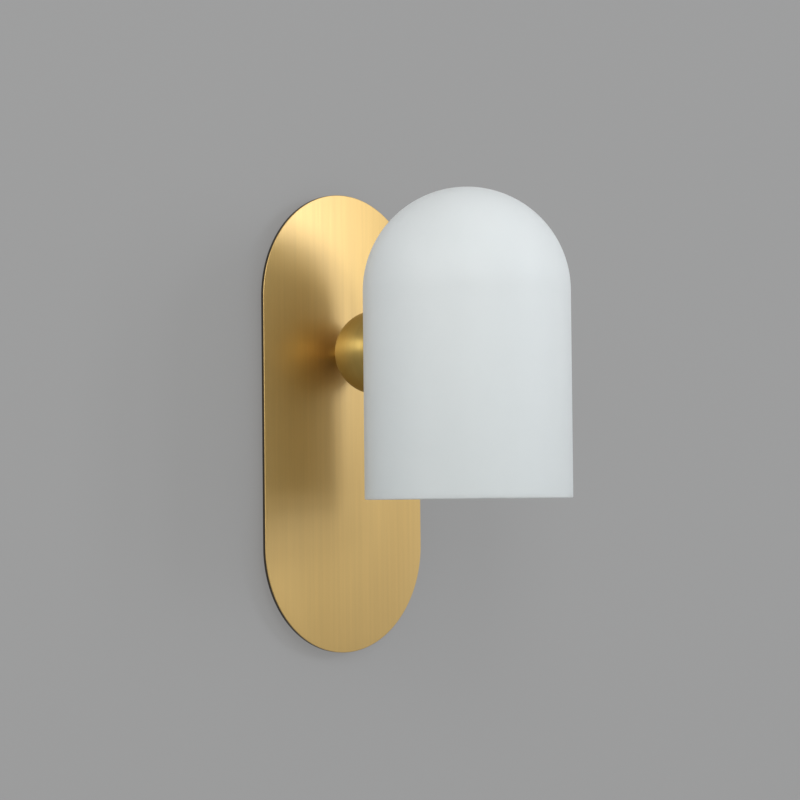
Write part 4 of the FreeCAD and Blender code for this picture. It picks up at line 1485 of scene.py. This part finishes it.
@dataclass
class Swivel(StemGroup):
    """Collar, washers, nut and hollow stem that the head turns on.

    Attributes:
        bore: Radius of the stem's bore.
        spigot: Radius of the collar in the plate's hole.
        collar_edge: Rounding of the collar's edges.
        stem_edge: Rounding of the stem's edges.
        washer_play: Air between the nylon washer and the collar.
        washer_edge: Rounding of the nylon washer's edges.
        rear_thread_end: How far from the wall the rear thread ends.
        glass_lead: How far inside the glass the front thread starts.
    """

    plain: Plain = (
        ("spring_washer", 0.0, "zinc_steel"),
        ("stop_washer", 0.12 * MM, "zinc_steel"),
    )
    bore: float = 3.5 * MM
    spigot: float = 6.2 * MM
    collar_edge: float = 0.3 * MM
    stem_edge: float = 0.25 * MM
    washer_play: float = 0.02 * MM
    washer_edge: float = 0.12 * MM
    rear_thread_end: float = 10 * MM
    glass_lead: float = 2 * MM

    def build(self) -> None:
        """Build the swivel's turned pieces and dress the others."""
        self.collar()
        self.stem()
        self.ring("nylon_washer", "friction_washer", "natural_nylon", self.washer_edge, self.washer_play)
        super().build()
        self.nut("thin_locknut", "locknut")

    def collar(self) -> None:
        """Turn the collar with a spigot that fills the plate's hole."""
        low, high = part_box("collar")
        face = -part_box("backplate")[0].y
        profile = [(self.working, -high.y), (self.spigot, -high.y), (self.spigot, face), (high.x, face),
                   (high.x, -low.y), (self.working, -low.y)]
        collar = lathed(eased(profile, self.collar_edge), self.on_stem(), name="swivel_collar")
        hand_over(collar, Body.WALL_PLATE, "ball_brass", "collar")

    def stem(self) -> None:
        """Turn the hollow stem and cut its thread at both ends."""
        low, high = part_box("stem")
        back, front = -high.y, -low.y
        rear_end, front_start = self.rear_thread_end, self.glass_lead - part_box("shade")[1].y
        core, full = self.thread.core, self.thread.radius
        profile = [(self.bore, back), (core, back), (core, rear_end), (full, rear_end),
                   (full, front_start), (core, front_start), (core, front), (self.bore, front)]
        ridges = [self.thread.wind(*ends, self.on_stem(), "turned_brass")
                  for ends in ((back, rear_end), (front_start, front))]
        stem = together("hollow_stem", lathed(eased(profile, self.stem_edge), self.on_stem()), *ridges)
        hand_over(stem, self.body, "turned_brass", "stem", 28.0)


@dataclass
class BallArm(StemGroup):
    """Brass ball between plate and glass, and the silicone pad that it seats on.

    Attributes:
        radius: The ball's radius.
        foot: How far the ball's flat foot reaches past the washer.
        gap: Thickness of the pad between ball and glass.
        edge: Softening of the saddle's edge.
        meridian_steps: Steps from its foot to its front.
        around: Faces round the ball.
        saddle_steps: Faces round the saddle's cutter.
    """

    plain: Plain = (("seat_pad", 0.0, "clear_silicone"),)
    radius: float = 27 * MM
    foot: float = 0.6 * MM
    gap: float = 0.8 * MM
    edge: float = 0.25 * MM
    meridian_steps: int = 120
    around: int = 160
    saddle_steps: int = 256

    def build(self) -> None:
        """Turn the ball, saddle it to the glass and seat it on its pad."""
        back, level = -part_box("ball")[1].y, centre_of("ball").z
        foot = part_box("friction_washer")[1].x + self.foot
        middle = back + math.sqrt(self.radius ** 2 - foot ** 2)
        start, end = math.acos(foot / self.radius), math.acos(self.working / self.radius)
        profile = [(self.working, back)]
        for step in range(self.meridian_steps + 1):
            turn = -start + (start + end) * step / self.meridian_steps
            profile.append((self.radius * math.cos(turn), middle + self.radius * math.sin(turn)))
        ball = lathed(profile, towards_room(z=level), self.around, "brass_ball")
        saddle = rod(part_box("shade")[1].x + self.gap, level - 2 * self.radius, level + 2 * self.radius,
                     upright(y=centre_of("shade").y), self.saddle_steps)
        ball = bevelled(shaped(ball, saddle), self.edge, 3, 40.0)
        hand_over(ball, self.body, "ball_brass", "ball", 50.0)
        super().build()


@dataclass
class GlassShade(StemGroup):
    """Domed opal shade and what clamps it to the ball.

    Attributes:
        dome: The shade's shape.
        hole: Radius of the hole for the stem.
        washer_edge: Rounding of the steel washer's edges.
    """

    plain: Plain = (("soft_washer", 0.0, "clear_silicone"),)
    dome: Dome = Dome(wall=3 * MM, rim=0.9 * MM, around=193, along=101, rim_steps=9)
    hole: float = 5.6 * MM
    washer_edge: float = 0.2 * MM

    def build(self) -> None:
        """Blow the shade, drill it and clamp it."""
        low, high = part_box("shade")
        mouth = upright(y=centre_of("shade").y, z=low.z)
        shade = self.dome.build("opal_shade", "shade", "opal_glass", mouth)
        shade = shaped(shade, rod(self.hole, -OVERRUN - high.y, 2 * OVERRUN - high.y, self.on_stem()))
        hand_over(shade, self.body, "opal_glass", "shade", 60.0)
        super().build()
        self.ring("steel_washer", "clamp_washer", "zinc_steel", self.washer_edge)
        self.nut("glass_nut", "clamp_nut")
        self.nut("arm_nut", "bracket_nut")


@dataclass
class LampFitting(SubAssembly):
    """Arm, bush, cable and ceramic lamp holder inside the shade.

    Attributes:
        screw_head: Radius and height of the ceramic's screws at the head.
        screw_thread: Their thread.
        cable_radius: Radius of the sleeved cable.
        cable_sink: How deep the cable enters the ceramic.
        cable_steps: Faces round the cable.
        route_steps: Points along it between two points of its route.
    """

    plain: Plain = (
        ("socket_bracket", 0.2 * MM, "zinc_steel"),
        ("stem_bush", 0.15 * MM, "natural_nylon"),
        ("lamp_holder", 0.4 * MM, "white_ceramic"),
        ("holder_contacts", 0.05 * MM, "tinned_copper"),
    )
    screw_head: tuple[float, float] = (2.8 * MM, 1.8 * MM)
    screw_thread: Thread = Thread(1.5 * MM, 0.5 * MM)
    cable_radius: float = 2.2 * MM
    cable_sink: float = 2.9 * MM
    cable_steps: int = 32
    route_steps: int = 16

    def build(self) -> None:
        """Build the fitting that carries the bulb."""
        super().build()
        self.screws()
        self.cable()

    def screws(self) -> None:
        """Build the two screws that hold the ceramic."""
        low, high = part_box("holder_screws")
        radius, height = self.screw_head
        screw = Screw(radius, height, self.screw_thread, high.z - low.z - height)
        side = high.x - radius
        seat = (-side, centre_of("holder_screws").y, high.z - height)
        pair = screw.pair("ceramic_screws", "zinc_steel", seat, (2 * side, 0.0, 0.0))
        hand_over(pair, self.body, "zinc_steel", "holder_screws")

    def cable(self) -> None:
        """Sleeve the pair from the stem's rear end to the top of the ceramic, on a listed route."""
        level, mouth, axis = centre_of("stem").z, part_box("stem_bush")[0].y, centre_of("bulb_cover").y
        start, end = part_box("lamp_cable")[1].y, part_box("lamp_holder")[1].z - self.cable_sink
        route = [(start, level), (-40 * MM, level), (mouth, level), (mouth - 12.2 * MM, level),
                 (mouth - 25.2 * MM, level + 21 * MM), (axis, level + 28 * MM), (axis, end)]
        curve = bpy.data.curves.new("lamp_cable_line", "CURVE")
        curve.dimensions = "3D"
        curve.resolution_u = self.route_steps
        spline = curve.splines.new("NURBS")
        spline.points.add(len(route) - 1)
        for point, (y, z) in zip(spline.points, route):
            point.co = (0.0, y, z, 1.0)
        spline.order_u = 3
        spline.use_endpoint_u = True
        cable = TUBE.make("sleeved_cable", "cable_sleeve", curve, radius=self.cable_radius,
                          steps=self.cable_steps)
        hand_over(cable, self.body, "cable_sleeve", "lamp_cable", 60.0)


@dataclass
class Bulb(SubAssembly):
    """Small capsule bulb that pulls out of the holder.

    Attributes:
        dome: Shape of the frosted cover.
        board_thickness: Thickness of the board in it.
        board_edge: Softening of the board's edges.
        chip_count: Chips on each face of the board.
        chip_pitch: Way from chip to chip.
        chip_size: Width and height of a chip.
        chip_edge: Softening of a chip's edges.
    """

    body: Body = Body.BULB
    plain: Plain = (
        ("bulb_base", 0.35 * MM, "bulb_plastic"),
        ("bulb_pins", 0.0, "tinned_copper"),
    )
    dome: Dome = Dome(wall=0.8 * MM, rim=0.1 * MM, around=97, along=41, rim_steps=5)
    board_thickness: float = 1 * MM
    board_edge: float = 0.1 * MM
    chip_count: int = 5
    chip_pitch: float = 5 * MM
    chip_size: tuple[float, float] = (3 * MM, 2.8 * MM)
    chip_edge: float = 0.12 * MM

    def build(self) -> None:
        """Build the bulb from its base to its cover, whose dome points down."""
        super().build()
        middle, top = centre_of("bulb_cover"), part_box("bulb_cover")[1].z
        mouth = upright(middle.x, middle.y, top) @ Matrix.Rotation(math.pi, 4, "X")
        cover = self.dome.build("frosted_cover", "bulb_cover", "bulb_frost", mouth)
        hand_over(cover, self.body, "bulb_frost", "bulb_cover", 60.0)
        self.board()

    def board(self) -> None:
        """Cut the board and set a row of light chips on each of its faces."""
        low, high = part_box("led_board")
        middle = centre_of("led_board")
        half = self.board_thickness / 2
        sheet = brick((low.x, middle.y - half, low.z), (high.x, middle.y + half, high.z), "light_board")
        hand_over(bevelled(sheet, self.board_edge), self.body, "board_white", "led_board")
        wide, tall = (size / 2 for size in self.chip_size)
        chip = bevelled(brick((-wide, low.y - middle.y, -tall), (wide, -half, tall)), self.chip_edge)
        chips = repeated("light_chips", chip, "chip_phosphor", columns=self.chip_count, rows=2,
                         start=(middle.x, middle.y, high.z - self.chip_pitch + tall),
                         column_step=(0.0, 0.0, -self.chip_pitch), turn=(0.0, 0.0, math.pi))
        hand_over(chips, self.body, "chip_phosphor", "led_board")


# The studio


def bearing(heading: float, climb: float) -> Vector:
    """Give the direction at a heading from +y towards +x and at a climb, both in degrees."""
    turn, lift = math.radians(heading), math.radians(climb)
    return Vector((math.sin(turn) * math.cos(lift), math.cos(turn) * math.cos(lift), math.sin(lift)))


@dataclass(frozen=True)
class Lamp:
    """One broad soft lamp.

    Attributes:
        name: Its name.
        heading: Where it stands, in degrees from straight ahead towards the right.
        climb: How high it stands, in degrees.
        distance: How far it stands from the object.
        width: Its width.
        height: Its height.
        glow: Brightness of its face, where 1 renders white.
        color: Its colour.
    """

    name: str
    heading: float
    climb: float
    distance: float
    width: float
    height: float
    glow: float
    color: Rgb = (1.0, 1.0, 1.0)

    def build(self, target: Vector) -> None:
        """Hang the lamp so that it faces the object.

        Args:
            target: The point that it faces.
        """
        light = bpy.data.lights.new(self.name, "AREA")
        light.shape = "RECTANGLE"
        light.size, light.size_y = self.width, self.height
        light.energy = self.glow * math.pi * self.width * self.height
        light.color = self.color
        lamp = linked(self.name, light)
        away = bearing(180 - self.heading, self.climb)
        lamp.location = target + away * self.distance
        lamp.rotation_euler = away.to_track_quat("Z", "Y").to_euler()
        lamp.visible_camera = False


@dataclass
class Studio:
    """Grey wall, pale floor, soft lamps and the camera of the photograph.

    Attributes:
        wall_grey: Tone of the wall.
        wall_glow: Even light that the wall gives off, which keeps its shadows faint.
        wall_gap: Air between the light's back and the wall.
        wall_top: Height of the wall's upper edge.
        box_inset: How far the wall's opening keeps inside the rear frame.
        box_steps: Steps round each end of the opening.
        floor_tone: Tone of the floor.
        floor_level: Its height.
        room_half: Half of the room's width.
        air_tone: Tone of the room's plain light.
        camera_place: The camera, in metres from the part's origin.
        heading: Its heading to the right of straight at the wall, in degrees.
        pitch: Its tilt upwards, in degrees.
        roll: Its roll, in degrees.
        lens: Its lens in millimetres on a 36 mm sensor.
        clip: Nearest and farthest that it sees.
        target: The point that the lamps face.
        lamps: The lamps.
    """

    wall_grey: Rgb = (0.14, 0.14, 0.14)
    wall_glow: float = 0.21
    wall_gap: float = 0.2 * MM
    wall_top: float = 2.6
    box_inset: float = 1 * MM
    box_steps: int = 24
    floor_tone: Rgb = (0.5, 0.5, 0.49)
    floor_level: float = -0.95
    room_half: float = 3.2
    air_tone: Rgb = (0.71, 0.71, 0.71)
    camera_place: Point = (-1.316, -1.424, -0.0508)
    heading: float = 44.07
    pitch: float = 1.95
    roll: float = -0.56
    lens: float = 133.3
    clip: tuple[float, float] = (0.05, 50.0)
    target: Point = (0.0, -0.06, 0.0)
    lamps: tuple[Lamp, ...] = (
        Lamp("left_softbox", -35, 20, 2.2, 0.6, 1.2, 4.3),
        Lamp("low_softbox", 26, 14, 2.2, 0.3, 0.4, 11.0, (0.96, 1.0, 1.07)),
        Lamp("right_strip", 38, 13, 2.2, 0.3, 1.0, 6.5, (0.96, 1.0, 1.07)),
        Lamp("side_strip", -87, 19, 2.2, 0.4, 0.9, 10.0),
    )

    def build(self) -> None:
        """Set up the room, its light and the camera."""
        self.wall()
        self.floor()
        self.air()
        self.camera()
        for lamp in self.lamps:
            lamp.build(Vector(self.target))
        bpy.context.scene.view_settings.view_transform = "Standard"

    def backing(self, name: str, tint: Rgb, glow: float = 0.0) -> bpy.types.Material:
        """Wire a matt surface that shows only from its front.

        Args:
            name: The material's name.
            tint: The surface's colour.
            glow: Light that it gives off evenly.

        Returns:
            The material.
        """
        wiring = Wiring(name)
        paint = wiring.out("ShaderNodeBsdfDiffuse", {"Color": (*tint, 1.0)})
        light = wiring.out("ShaderNodeEmission", {"Strength": glow})
        matt = wiring.out("ShaderNodeAddShader", {0: paint, 1: light})
        clear = wiring.out("ShaderNodeBsdfTransparent")
        behind = wiring.node("ShaderNodeNewGeometry").outputs["Backfacing"]
        return wiring.end(wiring.out("ShaderNodeMixShader", {0: behind, 1: matt, 2: clear}))

    def wall(self) -> None:
        """Draw the wall just behind the light, open behind the frame as over a wall box."""
        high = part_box("rear_frame")[1]
        half, low, top = self.room_half, self.floor_level, self.wall_top
        opening = pill(high.x - self.box_inset, high.z - high.x, self.box_steps)
        shape = bmesh.new()
        loops = []
        for outline in (opening, [(half, low), (half, top), (-half, top), (-half, low)]):
            corners = [shape.verts.new((x, high.y + self.wall_gap, z)) for x, z in outline]
            loops += [shape.edges.new((corner, corners[step - 1])) for step, corner in enumerate(corners)]
        bmesh.ops.triangle_fill(shape, use_beauty=True, edges=loops)
        for face in shape.faces:
            face.normal_update()
            if face.normal.y > 0:
                face.normal_flip()
        wall = kept(shape, "wall")
        wall.data.materials.append(self.backing("wall_paint", self.wall_grey, self.wall_glow))

    def floor(self) -> None:
        """Lay the pale floor in front of the wall."""
        half, level = self.room_half, self.floor_level
        mesh = bpy.data.meshes.new("floor")
        mesh.from_pydata([(-half, -2 * half, level), (half, -2 * half, level), (half, 0.0, level),
                          (-half, 0.0, level)], [], [(0, 1, 2, 3)])
        floor = linked("floor", mesh)
        floor.data.materials.append(self.backing("floor_paint", self.floor_tone))

    def air(self) -> None:
        """Light the room evenly with a plain grey world."""
        world = bpy.data.worlds.new("room")
        world.use_nodes = True
        world.node_tree.nodes["Background"].inputs["Color"].default_value = (*self.air_tone, 1.0)
        bpy.context.scene.world = world

    def camera(self) -> None:
        """Set the camera where the photograph was taken."""
        ahead, level = bearing(self.heading, self.pitch), bearing(self.heading + 90, 0.0)
        above, roll = level.cross(ahead), math.radians(self.roll)
        right = level * math.cos(roll) + above * math.sin(roll)
        data = bpy.data.cameras.new("photo_camera")
        data.lens = self.lens
        data.clip_start, data.clip_end = self.clip
        camera = linked("photo_camera", data)
        turned = Matrix((right, right.cross(ahead), -ahead)).transposed().to_4x4()
        camera.matrix_world = Matrix.Translation(self.camera_place) @ turned
        bpy.context.scene.camera = camera


def main() -> None:
    """Build the studio and every sub-assembly in order."""
    logging.basicConfig(level=logging.INFO, format="%(name)s: %(message)s")
    for kind in (Studio, BrassPlate, WallFixing, Terminals, Swivel, BallArm, GlassShade, LampFitting, Bulb):
        LOG.info("building %s", kind.__name__)
        kind().build()


if __name__ == "__main__":
    main()
